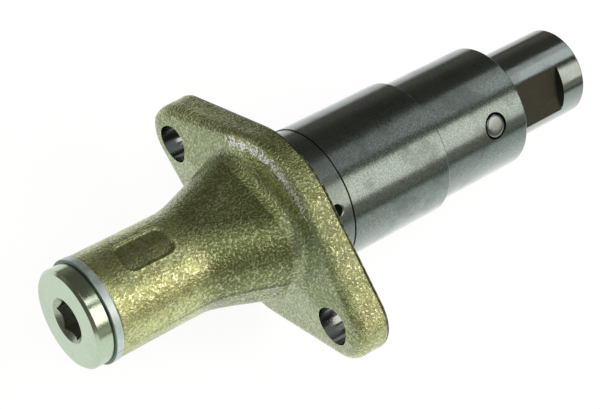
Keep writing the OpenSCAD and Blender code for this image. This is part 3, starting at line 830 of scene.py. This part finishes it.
def casting_masks(shape, points):
    """How rough, ridged, thinly plated and rubbed the casting is, and where shade and highlight are painted
    on it, numbers for each point.
    """
    x, y, z = points.T
    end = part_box("housing")[0].x
    radius = np.hypot(y, z)
    from_bolts = np.hypot(y + AXIS.y, z + AXIS.z)
    theta = np.arctan2(z + AXIS.z, y + AXIS.y)
    edge_round = edge_rounding(theta, shape)
    past_rim = from_bolts - flange_outline(theta, shape, edge_round)
    spare, hair = 0.1 * MM, 1e-6
    skin = (radius > shape.thread_radius + shape.mouth_chamfer + spare) & (x < -shape.base_height - hair)
    skin &= ~((radius < shape.shank_bore + spare) & (x > -shape.shank_floor - hair))
    wall = skin * step_between(past_rim, 0.3 * edge_round, edge_round)
    on_flange = x > -shape.flange_thickness - 0.5 * shape.foot_fillet
    # Mask for painted shade along the mould's parting line.
    crease = bell(z - 0.6 * MM, 0.5 * MM) * (np.abs(y) > 10 * MM) * skin
    crease *= step_between(x, end, end + 18 * MM) * (1 - step_between(x, -12 * MM, -10 * MM))
    panel_x = end + shape.panel_setback + shape.panel_length / 2
    across = (np.arctan2(z, y) - math.pi / 2 + shape.panel_turn) * shape.barrel_radius
    panel = skin * (z > 0) * np.clip(panel_sink(shape, x - panel_x, across) / shape.panel_depth, 0, 1)
    past_wall = from_bolts - flange_outline(theta, shape, 0.5 * shape.base_inset)
    base_side = (x > -shape.base_height - hair) & (past_rim > 0.5 * edge_round) & (past_wall < 0)
    flare = step_between(x, -36 * MM, -27 * MM) * (1 - on_flange)
    # Painted shade: the flare darker, a little less towards +Y, and the upper wall darker.
    flare_shade = flare * (0.9 - 0.2 * step_between(y, -8 * MM, 8 * MM))
    wall_shade = 0.55 * wall * step_between(np.sin(theta), 0.25, 0.75)
    smoother_base = 1 - 0.75 * step_between(x, -3 * MM, -shape.base_height)
    rub = rubbed_edge(theta)
    brink = bell(past_rim + 0.45 * shape.rubbed_width, 0.7 * shape.rubbed_width)
    return {
        "cast": skin * step_between(x, end, end + 1 * MM) * smoother_base,
        "coarse": np.where(on_flange, 1.15 + 0.65 * np.maximum(wall, rub), 0.7 + 0.3 * flare),
        "painted_shade": (flare_shade + wall_shade) * skin,
        "ridged": wall * step_between(z, 0, 10 * MM),
        "thin": skin * on_flange * (0.85 - 0.8 * wall) * (1 - 0.9 * rub),
        "worn_and_glint": brink * rub * skin * on_flange,
        "crease": np.maximum.reduce([0.7 * crease, 0.42 * panel, 1.0 * base_side]),
    }


def cast_skin_tree(material):
    """Geometry Nodes that press sand grain, slow waves and ridges into a casting."""
    sizes = numbers(
        Grain_height=0.0, Grain_size=0.001, Ripple_height=0.0, Ripple_size=0.005,
        Ridge_height=0.0, Ridge_size=0.001, Seed=0.0)
    inputs = [(*SHAPE_SOCKET, None), *sizes]
    tree, source, sink = group_tree("Cast skin", "GeometryNodeTree", inputs, SHAPE_SOCKET)
    place = node(tree, "GeometryNodeInputPosition").outputs[0]

    def kept(name):
        return node(tree, "GeometryNodeInputNamedAttribute", {"Name": name}, data_type="FLOAT").outputs[0]

    def waves(name, detail, shift, where=place):
        scale = math_node(tree, "DIVIDE", 1.0, source.outputs[name + " size"])
        inputs = {"Vector": where, "Scale": scale, "Detail": detail,
                  "W": math_node(tree, "ADD", source.outputs["Seed"], shift)}
        noise = node(tree, "ShaderNodeTexNoise", inputs, noise_dimensions="4D")
        sunk = math_node(tree, "SUBTRACT", noise.outputs[0], 1.0)
        return math_node(tree, "MULTIPLY", sunk, source.outputs[name + " height"])

    drawn_out = vector_node(tree, "MULTIPLY", place, (1.0, 0.14, 0.14))
    ridges = math_node(tree, "MULTIPLY", waves("Ridge", 2.0, 8.1, drawn_out), kept("ridged"))
    rough = math_node(tree, "ADD", waves("Grain", 2.0, 0.0), waves("Ripple", 1.0, 3.7))
    rise = math_node(tree, "MULTIPLY", math_node(tree, "ADD", rough, ridges), kept("cast"))
    normal = node(tree, "GeometryNodeInputNormal").outputs[0]
    shift = node(tree, "ShaderNodeVectorMath", {0: normal, "Scale": rise}, operation="SCALE").outputs[0]
    moved = node(tree, "GeometryNodeSetPosition", {"Geometry": source.outputs[0], "Offset": shift})
    real = node(tree, "GeometryNodeRealizeInstances", {0: moved.outputs[0]}).outputs[0]
    index = node(tree, "GeometryNodeInputMaterialIndex").outputs[0]
    is_cast = node(tree, "FunctionNodeCompare", {2: index, 3: CAST}, data_type="INT", operation="EQUAL")
    choice = {"Geometry": real, "Selection": is_cast.outputs[0], "Material": material}
    final = node(tree, "GeometryNodeSetMaterial", choice)
    tree.links.new(final.outputs[0], sink.inputs[0])
    return tree


def run_tree(piece, tree, values):
    """Runs a Geometry Nodes tree on a piece with named inputs and keeps the result as its mesh."""
    modifier = piece.modifiers.new(tree.name, "NODES")
    modifier.node_group = tree
    for item in tree.interface.items_tree:
        if item.item_type == "SOCKET" and item.in_out == "INPUT" and item.name in values:
            modifier[item.identifier] = values[item.name]
    settle(piece)


def store(mesh, name, values):
    """Keeps one number for each point."""
    kept = mesh.attributes.new(name, "FLOAT", "POINT")
    kept.data.foreach_set("value", np.asarray(values, np.float32))


def points_of(mesh):
    """Points of a mesh as an array."""
    points = np.empty(len(mesh.vertices) * 3, np.float32)
    mesh.vertices.foreach_get("co", points)
    return points.reshape(-1, 3).astype(float)


class TENSIONER_OT_housing(bpy.types.Operator):
    """Cast housing with its flange, flare, barrel, turned spigot and drilled holes"""

    bl_idname = "tensioner.housing"
    bl_label = "Housing"

    def execute(self, context):
        shape, turned_shape, _, colours = settings()
        facets, closer_at_lobes = 400, 0.175
        even = np.arange(facets) * TURN / facets
        theta = even - closer_at_lobes * np.sin(2 * even)
        rings, slots = casting_rings(shape, theta)
        piece = link("cast_housing", loft("cast_housing", rings, True, slots))
        cast = plated_casting(colours)
        spigot = turned_steel("turned_casting", colours.ground, 0.26, grain=0.16, coat=1.0)
        drilled = turned_steel("drilled_casting", colours.drilled, 0.15, marks=0.0, grain=0.03)
        # The feed hole's wall is lightened as a painted highlight.
        bored_and_lit = turned_steel("bored_casting", colours.bored_and_lit, 0.3)
        dress(piece.data, cast, spigot, drilled, bored_and_lit)
        for name, values in casting_masks(shape, points_of(piece.data)).items():
            store(piece.data, name, values)
        run_tree(piece, cast_skin_tree(cast), {
            "Grain height": shape.grain_height, "Grain size": shape.grain_size,
            "Ripple height": shape.ripple_height, "Ripple size": shape.ripple_size,
            "Ridge height": shape.ridge_height, "Ridge size": shape.ridge_size, "Seed": float(shape.seed)})

        bolt = BOLTS["hole_r_mm"] * MM
        reach = BOLTS["spacing_x_mm"] * MM / 2
        depth = shape.flange_thickness
        along_x = Matrix.Rotation(math.pi / 2, 4, "Y")
        through = [(-2 * depth, 0), (-2 * depth, bolt), (depth, bolt), (depth, 0)]
        places = [Matrix.Translation(Vector((0, y, 0)) - AXIS) for y in (-reach, reach)]
        cut(piece, [drill(through, 0, place @ along_x, 288) for place in places], BORE)
        at_side = side_matrix(turned_shape.pin_angle)
        feed = shape.feed_radius
        inner = shape.shank_bore - 1 * MM
        sink = 0.3 * MM
        slot_depth = 2 * MM
        feeds = [
            drill([(inner, 0), (inner, feed), (shape.spigot_radius - sink, feed),
                   (shape.spigot_radius + sink, feed + 2 * sink), (shape.spigot_radius + sink, 0)],
                  shape.feed_station, at_side, 144),
            block((-shape.shank_floor - slot_depth, -feed, 1 * MM),
                  (-shape.shank_floor + 1 * MM, feed, shape.shank_bore - 0.6 * MM), at_side)]
        cut(piece, feeds, FEED)
        self.shade(piece.data)
        hand_over(piece, "housing", "plated_casting", "housing")
        return {"FINISHED"}

    def shade(self, mesh):
        """Smooth shading with sharp machined edges."""
        work = bmesh.new()
        work.from_mesh(mesh)
        for face in work.faces:
            face.smooth = True
        limit = math.radians(28)
        for edge in work.edges:
            if len(edge.link_faces) == 2:
                first, second = (face.material_index for face in edge.link_faces)
                plain = first == CAST and second == CAST
                edge.smooth = plain or (first == second and edge.calc_face_angle(0) < limit)
        work.to_mesh(mesh)
        work.free()


class TENSIONER_OT_screw_plug(bpy.types.Operator):
    """Collar plug with a chamfered hexagon socket and a screw thread"""

    bl_idname = "tensioner.screw_plug"
    bl_label = "Screw plug"

    def execute(self, context):
        casting, shape, _, colours = settings()
        face, tip, collar = span("screw_plug")
        corners = shape.socket_turn - TURN / 4 + np.arange(6) * TURN / 6
        theta = angles(192, corners)
        across = (theta - corners[0] + TURN / 12) % (TURN / 6) - TURN / 12
        flat = shape.socket_flat / np.cos(np.abs(across) - TURN / 12)
        floor = face + shape.socket_depth
        mouth = shape.socket_mouth
        under = face + shape.collar_thickness
        rings = [ring(theta, floor, 0), ring(theta, floor, 0.9 * flat), ring(theta, floor, flat),
                 ring(theta, face + mouth - flat, flat), ring(theta, face, mouth)]
        bevel = shape.collar_chamfer
        neck = casting.thread_radius - shape.thread_relief
        profile = rounded([
            (face, mouth, 0), (face, collar - bevel, 0.12 * MM), (face + bevel, collar, 0.12 * MM),
            (under, collar, 0.3 * MM), (under, neck, 0.1 * MM), (under + shape.neck_width, neck, 0.1 * MM)],
            steps=3)[1:]
        profile.append(np.array([under + shape.neck_width, neck]))
        rings += [ring(theta, x, r) for x, r in profile]
        crest = casting.thread_radius - shape.fit_gap
        first, last = under + shape.neck_width + 0.2 * MM, tip - 0.2 * MM
        for x in np.linspace(first, last, 60):
            turn = (x / shape.thread_pitch + theta / TURN) % 1
            tooth = np.clip(1.15 - 2.3 * np.abs(turn - 0.5), 0, 1)
            run = min(1, (x - first) / MM) * min(1, (last - x) / MM)
            rings.append(ring(theta, x, neck + (crest - neck) * tooth * run))
        rings += [ring(theta, tip, neck - 0.2 * MM), ring(theta, tip, 0)]
        zinc, socket, socket_edge = range(3)
        mesh = loft("collar_plug", rings, slots=[socket] * 3 + [socket_edge] + [zinc] * (len(rings) - 5))
        crisp(mesh, 26)
        dress(mesh,
              turned_steel("bright_zinc", colours.zinc, 0.18, grain=0.03, smudges=0.04, coat=0.5),
              turned_steel("oily_socket", colours.socket, 0.3),
              turned_steel("dull_socket_edge", colours.socket_edge, 0.3))
        hand_over(link("collar_plug", mesh), "housing", "plated_steel", "screw_plug")
        return {"FINISHED"}


class TENSIONER_OT_seal_ring(bpy.types.Operator):
    """Soft metal ring under the plug's collar"""

    bl_idname = "tensioner.seal_ring"
    bl_label = "Seal ring"

    def execute(self, context):
        _, shape, _, colours = settings()
        first, last, outer = span("plug_seal_ring")
        edge = 0.3 * MM
        corners = [(first, shape.ring_bore, 0.1 * MM), (first, outer, edge), (last, outer, edge),
                   (last, shape.ring_bore, 0.1 * MM)]
        mesh = turned("seal_ring", corners, True, 192)
        crisp(mesh)
        dress(mesh, soft_aluminium(colours, first))
        hand_over(link("seal_ring", mesh), "housing", "soft_aluminium", "plug_seal_ring")
        return {"FINISHED"}


class TENSIONER_OT_sleeve(bpy.types.Operator):
    """Ground guide sleeve with its pin hole and oil flute"""

    bl_idname = "tensioner.sleeve"
    bl_label = "Cylinder sleeve"

    def execute(self, context):
        casting, shape, _, colours = settings()
        rear, front, land = span("cylinder_sleeve")
        bore, shank, nose = shape.sleeve_bore, shape.shank_radius, shape.nose_radius
        bevel, rear_bevel = shape.sleeve_chamfer, shape.land_chamfer
        soft, lead_in = 0.15 * MM, 0.6 * MM
        corners = [
            (rear, bore, 0), (rear, shank, 0.2 * MM), (shape.land_station, shank, 0),
            (shape.land_station, land - rear_bevel, 0), (shape.land_station + rear_bevel, land, 0),
            (shape.nose_station - bevel, land, soft), (shape.nose_station, land - bevel, soft),
            (shape.nose_station, nose, 0), (front - bevel, nose, 0.35 * MM),
            (front, nose - bevel, 0.2 * MM), (front, bore + lead_in, 0.1 * MM), (front - lead_in, bore, 0)]
        mesh = turned("guide_sleeve", corners, True, 320)
        piece = link("guide_sleeve", mesh)
        # The cut faces get a near-black painted shade in the pin's groove and the flute.
        dress(mesh,
              turned_steel("ground_steel", colours.ground, 0.23, grain=0.24, smudges=0.25, coat=1.0),
              turned_steel("shaded_groove", colours.groove, 0.4))
        hole = shape.pin_radius + shape.fit_gap
        wide = hole + shape.pin_groove
        at_side = side_matrix(shape.pin_angle)
        feed = casting.feed_radius
        inner, outer = bore - 2 * MM, nose + 1 * MM
        pin_hole = [(inner, 0), (inner, hole), (nose - 1.2 * MM, hole), (nose - 0.5 * MM, wide),
                    (outer, wide), (outer, 0)]
        cutters = [
            drill(pin_hole, shape.pin_station, at_side, 72),
            block((rear - 1 * MM, -feed, shank - shape.flute_depth),
                  (casting.feed_station + feed, feed, shank + 2 * MM), at_side)]
        cut(piece, cutters, 1)
        crisp(piece.data, 24)
        hand_over(piece, "housing", "ground_steel", "cylinder_sleeve")
        return {"FINISHED"}


class TENSIONER_OT_stop_pin(bpy.types.Operator):
    """Domed pin that stops the plunger"""

    bl_idname = "tensioner.stop_pin"
    bl_label = "Stop pin"

    def execute(self, context):
        _, shape, _, colours = settings()
        radius = shape.pin_radius
        shoulder = shape.nose_radius - 0.45 * MM
        top = shape.nose_radius + shape.pin_dome
        inner, bevel = shape.pin_end, 0.3 * MM
        profile = [(inner, 0), (inner, radius - bevel), (inner + bevel, radius)]
        profile.append((shoulder - 0.1 * MM, radius))
        for a in np.linspace(0, math.pi / 2, 13):
            profile.append((shoulder + (top - shoulder) * math.sin(a) ** 0.8, radius * math.cos(a) ** 0.55))
        mesh = drill(profile, shape.pin_station, side_matrix(shape.pin_angle), 72)
        mesh.name = "domed_pin"
        crisp(mesh)
        dress(mesh, turned_steel("pin_steel", colours.pin, 0.22, grain=0.04))
        hand_over(link("domed_pin", mesh), "housing", "pin_steel", "stop_pin")
        return {"FINISHED"}


class TENSIONER_OT_plunger(bpy.types.Operator):
    """Hollow piston with a milled flat"""

    bl_idname = "tensioner.plunger"
    bl_label = "Plunger"

    def execute(self, context):
        _, shape, _, colours = settings()
        rear, tip, outer = span("plunger")
        middle = math.pi - (shape.pin_angle - shape.flat_roll)
        half = math.acos(shape.flat_height / outer)
        theta = angles(256, (middle - half, middle + half))
        across = np.cos(theta - middle)
        flat = np.where(across > math.cos(half) - 1e-9, shape.flat_height / np.maximum(across, 0.1), outer)
        bevel = shape.tip_chamfer
        wall = tip - shape.tip_wall
        rear_bevel = 0.5 * MM
        inside = rounded([
            (tip, 0, 0), (wall, 0, 0), (wall, shape.spring_bore, 0), (rear, shape.spring_bore, 0.1 * MM),
            (rear, outer - rear_bevel, 0.1 * MM), (rear + rear_bevel, outer, 0.2 * MM),
            (shape.flat_start, outer, 0)])[1:]
        nose = rounded([
            (shape.flat_end, outer, 0), (tip - bevel, outer, 0.4 * MM), (tip, outer - bevel, 0.3 * MM),
            (tip, 0, 0)])
        soft = 0.12 * MM
        rings = [ring(theta, x, r) for x, r in inside]
        for x in np.linspace(shape.flat_start + soft, shape.flat_end - soft, 24):
            rings.append(ring(theta, x, flat))
        rings += [ring(theta, x, r) for x, r in nose]
        mesh = loft("piston", rings)
        dress(mesh,
              turned_steel("polished_steel", colours.polished, 0.16, grain=0.05, coat=0.5),
              turned_steel("milled_steel", colours.milled, 0.38, width=0.0006))
        normal = Vector((0, math.cos(middle), math.sin(middle)))
        for face in mesh.polygons:
            at_height = abs(face.center.dot(normal) - shape.flat_height) < 0.05 * MM
            if at_height and face.normal.dot(normal) > 0.9995:
                face.material_index = 1
        crisp(mesh, 20)
        hand_over(link("piston", mesh), "plunger", "polished_steel", "plunger")
        return {"FINISHED"}


# Springs and valve

def coil_tree(material):
    """Geometry Nodes that wind a wire into a spring with one closed turn at each end."""
    sizes = numbers(
        Start=0.0, Length=0.05, Coil_radius=0.008, Wire_radius=0.0008, Open_turns=10.0, Closed_spread=1.08)
    inputs = [(*SHAPE_SOCKET, None), *sizes, ("Steps", "NodeSocketInt", 400)]
    tree, source, sink = group_tree("Wound spring", "GeometryNodeTree", inputs, SHAPE_SOCKET)
    value = source.outputs
    line = node(tree, "GeometryNodeMeshLine", {"Count": value["Steps"]}, mode="OFFSET")
    curve = node(tree, "GeometryNodeMeshToCurve", {0: line.outputs[0]}).outputs[0]
    index = node(tree, "GeometryNodeInputIndex").outputs[0]
    last = math_node(tree, "SUBTRACT", value["Steps"], 1.0)
    turns = math_node(tree, "ADD", value["Open turns"], 2.0)
    turn = math_node(tree, "MULTIPLY", math_node(tree, "DIVIDE", index, last), turns)
    wire = math_node(tree, "MULTIPLY", value["Wire radius"], 2.0)
    closed = math_node(tree, "MULTIPLY", wire, value["Closed spread"])
    free = math_node(tree, "SUBTRACT", math_node(tree, "SUBTRACT", value["Length"], wire),
                     math_node(tree, "MULTIPLY", closed, 2.0))
    opened = math_node(tree, "DIVIDE", free, value["Open turns"])
    past_first = math_node(tree, "MAXIMUM", math_node(tree, "SUBTRACT", turn, 1.0), 0.0)
    middle = math_node(tree, "MINIMUM", past_first, value["Open turns"])
    ends = math_node(tree, "SUBTRACT", turn, middle)
    along = math_node(tree, "ADD", math_node(tree, "MULTIPLY", ends, closed),
                      math_node(tree, "MULTIPLY", middle, opened))
    x = math_node(tree, "ADD", math_node(tree, "ADD", value["Start"], value["Wire radius"]), along)
    angle = math_node(tree, "MULTIPLY", turn, TURN)
    y = math_node(tree, "MULTIPLY", math_node(tree, "COSINE", angle), value["Coil radius"])
    z = math_node(tree, "MULTIPLY", math_node(tree, "SINE", angle), value["Coil radius"])
    place = node(tree, "ShaderNodeCombineXYZ", {0: x, 1: y, 2: z}).outputs[0]
    wound = node(tree, "GeometryNodeSetPosition", {"Geometry": curve, "Position": place}).outputs[0]
    round_wire = {"Resolution": 12, "Radius": value["Wire radius"]}
    section = node(tree, "GeometryNodeCurvePrimitiveCircle", round_wire).outputs[0]
    sweep = {"Curve": wound, "Profile Curve": section, "Fill Caps": True}
    tube = node(tree, "GeometryNodeCurveToMesh", sweep).outputs[0]
    real = node(tree, "GeometryNodeRealizeInstances", {0: tube}).outputs[0]
    final = node(tree, "GeometryNodeSetMaterial", {"Geometry": real, "Material": material}).outputs[0]
    tree.links.new(final, sink.inputs[0])
    return tree


class TENSIONER_OT_springs(bpy.types.Operator):
    """Main spring behind the plunger and light spring behind the check ball"""

    bl_idname = "tensioner.springs"
    bl_label = "Springs"

    def execute(self, context):
        _, _, shape, colours = settings()
        wire = turned_steel("spring_wire", colours.wire, 0.3)
        tree = coil_tree(wire)
        springs = (
            ("main_spring", "plunger_slide", shape.main_wire, shape.main_turns, 48, False),
            ("ball_spring", "check_ball_lift", shape.ball_wire, shape.ball_turns, 32, True),
        )
        for solid, joint, wire_radius, turns, steps, front_stays in springs:
            name = "wound_" + solid
            low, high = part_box(solid)
            piece = link(name, bpy.data.meshes.new(name))
            run_tree(piece, tree, {
                "Start": low.x, "Length": high.x - low.x,
                "Coil radius": (high.y - low.y) / 2 - wire_radius, "Wire radius": wire_radius,
                "Open turns": float(turns), "Closed spread": shape.closed_spread,
                "Steps": steps * (turns + 2)})
            weld(piece.data)
            crisp(piece.data, 50)
            hand_over(piece, "housing", "spring_steel", solid)
            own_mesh(piece)
        return {"FINISHED"}


class TENSIONER_OT_valve(bpy.types.Operator):
    """Finishes of the pieces inside: valve seat, seal, ball, cage and filler"""

    bl_idname = "tensioner.valve"
    bl_label = "Valve pieces"

    def execute(self, context):
        colours = settings()[3]
        finishes = {
            "filler_pin": moulded("black_plastic", colours.plastic, 0.45),
            "valve_seal": moulded("seal_rubber", colours.rubber, 0.6),
            "valve_seat": turned_steel("turned_steel", colours.seat, 0.28),
            "check_ball": turned_steel("ball_steel", colours.ball, 0.08, marks=0.02, grain=0.03),
            "ball_cage": turned_steel("pressed_steel", colours.cage, 0.34, width=0.002),
        }
        for solid, material in finishes.items():
            materials = frame["nodes"][solid].data.materials
            materials.clear()
            materials.append(material)
        return {"FINISHED"}


# Studio

def floor_material(studio):
    """White floor with a painted pool of light that fades into a dark room, glowing at painted levels in
    reflections, and keeping the object's shadow.
    """
    material = bpy.data.materials.new("studio_floor")
    material.use_nodes = True
    tree = material.node_tree
    tree.nodes.clear()
    place = node(tree, "ShaderNodeTexCoord").outputs["Object"]
    distance = node(tree, "ShaderNodeVectorMath", {0: place}, operation="LENGTH").outputs["Value"]
    # Painted pool of light: the floor fades from white near the object to the room's level.
    level = mapped(tree, distance, studio.pool_inner, studio.pool_outer, 1.0, studio.room)
    tone = node(tree, "ShaderNodeCombineColor", {0: level, 1: level, 2: level}).outputs[0]
    path = node(tree, "ShaderNodeLightPath").outputs
    seen = math_node(tree, "MAXIMUM", path["Is Camera Ray"],
                     math_node(tree, "MAXIMUM", path["Is Glossy Ray"], path["Is Transmission Ray"]))
    lit = node(tree, "ShaderNodeBsdfDiffuse", {"Color": tone}).outputs[0]
    parts = node(tree, "ShaderNodeSeparateXYZ", {0: place}).outputs
    beside = math_node(tree, "ABSOLUTE", parts[1])
    seen_level, shadow_share = 0.92, opaque((0.2, 0.2, 0.2))
    # Painted reflections: in glossy rays the floor glows brighter under the tip than under the plug,
    # settling to a middle level further to the side.
    plug_level, tip_level, far_level = 0.76, 1.05, 0.78
    under = mapped(tree, parts[0], -0.05, 0.005, plug_level, tip_level)
    reflected_pool = mapped(tree, beside, 0.035, 0.085, under, far_level)
    strength = node(tree, "ShaderNodeMix", {0: path["Is Glossy Ray"], 2: seen_level, 3: reflected_pool}).outputs[0]
    glow = node(tree, "ShaderNodeEmission", {"Color": tone, "Strength": strength}).outputs[0]
    shaded = blended(tree, 1.0, tone, shadow_share, "MULTIPLY")
    dim = node(tree, "ShaderNodeBsdfDiffuse", {"Color": shaded}).outputs[0]
    white = node(tree, "ShaderNodeAddShader", {0: glow, 1: dim}).outputs[0]
    mixed = node(tree, "ShaderNodeMixShader", {0: seen, 1: lit, 2: white}).outputs[0]
    output = node(tree, "ShaderNodeOutputMaterial", {"Surface": mixed})
    output.is_active_output = True
    return material


def softbox(name, stand, shift, size, level, tone):
    """Area lamp on a stand that faces the object, moved in its own plane, at a plain brightness."""
    azimuth, elevation, roll, distance = stand
    lamp = bpy.data.lights.new(name, "AREA")
    lamp.shape = "RECTANGLE"
    lamp.size, lamp.size_y = size
    lamp.energy = level * math.pi * size[0] * size[1]
    lamp.color = tone
    made = link(name, lamp)
    a, e = math.radians(azimuth), math.radians(elevation)
    way = Vector((math.cos(e) * math.cos(a), math.cos(e) * math.sin(a), math.sin(e)))
    side = Vector((-math.sin(a), math.cos(a), 0))
    turn = Matrix((side, way.cross(side), way)).transposed().to_4x4()
    turn = turn @ Matrix.Rotation(math.radians(roll), 4, "Z")
    made.matrix_world = Matrix.Translation(way * distance + AXIS) @ turn @ Matrix.Translation((*shift, 0))
    made.visible_camera = False


def room_world(studio):
    """Dark room with a paler horizon, palest in front."""
    world = bpy.data.worlds.new("dark_room")
    world.use_nodes = True
    tree = world.node_tree
    way = node(tree, "ShaderNodeTexCoord").outputs["Generated"]
    height = node(tree, "ShaderNodeSeparateXYZ", {0: way}).outputs[2]
    haze_end, haze_top, warm_tint = 0.12, 0.42, (1.12, 1.0, 0.88)
    band = mapped(tree, height, haze_end, haze_top, 1.0, 0.0)
    facing = {0: way, 1: (0.53, -0.85, 0)}
    front = node(tree, "ShaderNodeVectorMath", facing, operation="DOT_PRODUCT").outputs["Value"]
    extra = mapped(tree, front, 0.6, 0.95, studio.horizon, studio.horizon + studio.horizon_front)
    level = math_node(tree, "ADD", math_node(tree, "MULTIPLY", band, extra), studio.room)
    warm = vector_node(tree, "MULTIPLY", level, warm_tint)
    tree.links.new(warm, tree.nodes["Background"].inputs["Color"])
    return world


class TENSIONER_OT_studio(bpy.types.Operator):
    """White floor, softboxes and the camera"""

    bl_idname = "tensioner.studio"
    bl_label = "Studio"

    def execute(self, context):
        scene = context.scene
        studio = scene.tensioner_studio
        mesh = bpy.data.meshes.new("floor")
        half = 4.0
        height = CAD_BOX[0].z - studio.floor_drop
        corners = [(-half, -half), (half, -half), (half, half), (-half, half)]
        mesh.from_pydata([(x, y, height) for x, y in corners], [], [range(4)])
        dress(mesh, floor_material(studio))
        link("floor", mesh)
        stand, level, tone = (-66, 44, -25, 0.8), studio.front_light, studio.front_tone
        softbox("front_softbox", stand, (0.135, -0.031), (0.50, 0.50), level, tone)
        softbox("front_end_softbox", stand, (0.51, -0.06), (0.25, 0.43), 0.74 * level, tone)
        stand, level, tone = (5, 50, 0, 0.8), studio.rear_light, studio.rear_tone
        softbox("rear_softbox", stand, (-0.0775, -0.1025), (0.255, 0.195), level, tone)
        softbox("rear_end_softbox", stand, (0.1325, -0.1025), (0.165, 0.195), 0.62 * level, tone)
        softbox("rear_top_softbox", stand, (-0.03, 0.0775), (0.35, 0.165), 0.38 * level, tone)
        softbox("small_softbox", stand, (-0.195, 0.29), (0.17, 0.20), 1.4 * level, tone)
        stand, level, tone = (205, 62, 0, 1.0), studio.fill_light, studio.fill_tone
        softbox("overhead_softbox", stand, (0, 0), (0.9, 0.9), level, tone)
        scene.world = room_world(studio)
        scene.view_settings.view_transform = "Standard"

        camera = bpy.data.cameras.new("camera")
        camera.lens = studio.lens
        camera.sensor_width = 36
        camera.sensor_fit = "HORIZONTAL"
        camera.clip_start = 0.01
        scene.camera = link("camera", camera)
        right = Vector((0.7660, -0.6143, 0.1893)).normalized()
        back = Vector((-0.5060, -0.3946, 0.7670)).normalized()
        place = AXIS + Vector((-0.21001, -0.16953, 0.32781))
        turn = Matrix((right, back.cross(right), back)).transposed().to_4x4()
        scene.camera.matrix_world = Matrix.Translation(place) @ turn
        return {"FINISHED"}


class TENSIONER_PT_panel(bpy.types.Panel):
    """Lists the tensioner's pieces"""

    bl_idname = "TENSIONER_PT_panel"
    bl_label = "Timing Chain Tensioner"
    bl_space_type = "VIEW_3D"
    bl_region_type = "UI"
    bl_category = "Tensioner"

    def draw(self, context):
        for operator in OPERATORS:
            self.layout.operator(operator.bl_idname)


OPERATORS = (
    TENSIONER_OT_studio, TENSIONER_OT_housing, TENSIONER_OT_screw_plug, TENSIONER_OT_seal_ring,
    TENSIONER_OT_sleeve, TENSIONER_OT_stop_pin, TENSIONER_OT_plunger, TENSIONER_OT_springs,
    TENSIONER_OT_valve,
)
GROUPS = {
    "tensioner_casting": CastingShape,
    "tensioner_turned": TurnedShape,
    "tensioner_springs": SpringShape,
    "tensioner_colours": FinishColours,
    "tensioner_studio": StudioSetup,
}


def register():
    """Registers the property groups, operators and panel."""
    for name, group in GROUPS.items():
        bpy.utils.register_class(group)
        setattr(bpy.types.Scene, name, PointerProperty(type=group))
    for operator in OPERATORS:
        bpy.utils.register_class(operator)
    bpy.utils.register_class(TENSIONER_PT_panel)


def unregister():
    """Removes what register added."""
    bpy.utils.unregister_class(TENSIONER_PT_panel)
    for operator in reversed(OPERATORS):
        bpy.utils.unregister_class(operator)
    for name, group in GROUPS.items():
        delattr(bpy.types.Scene, name)
        bpy.utils.unregister_class(group)


def main():
    """Builds every piece and the studio."""
    register()
    bpy.ops.tensioner.studio()
    bpy.ops.tensioner.housing()
    bpy.ops.tensioner.screw_plug()
    bpy.ops.tensioner.seal_ring()
    bpy.ops.tensioner.sleeve()
    bpy.ops.tensioner.stop_pin()
    bpy.ops.tensioner.plunger()
    bpy.ops.tensioner.springs()
    bpy.ops.tensioner.valve()


if __name__ == "__main__":
    main()
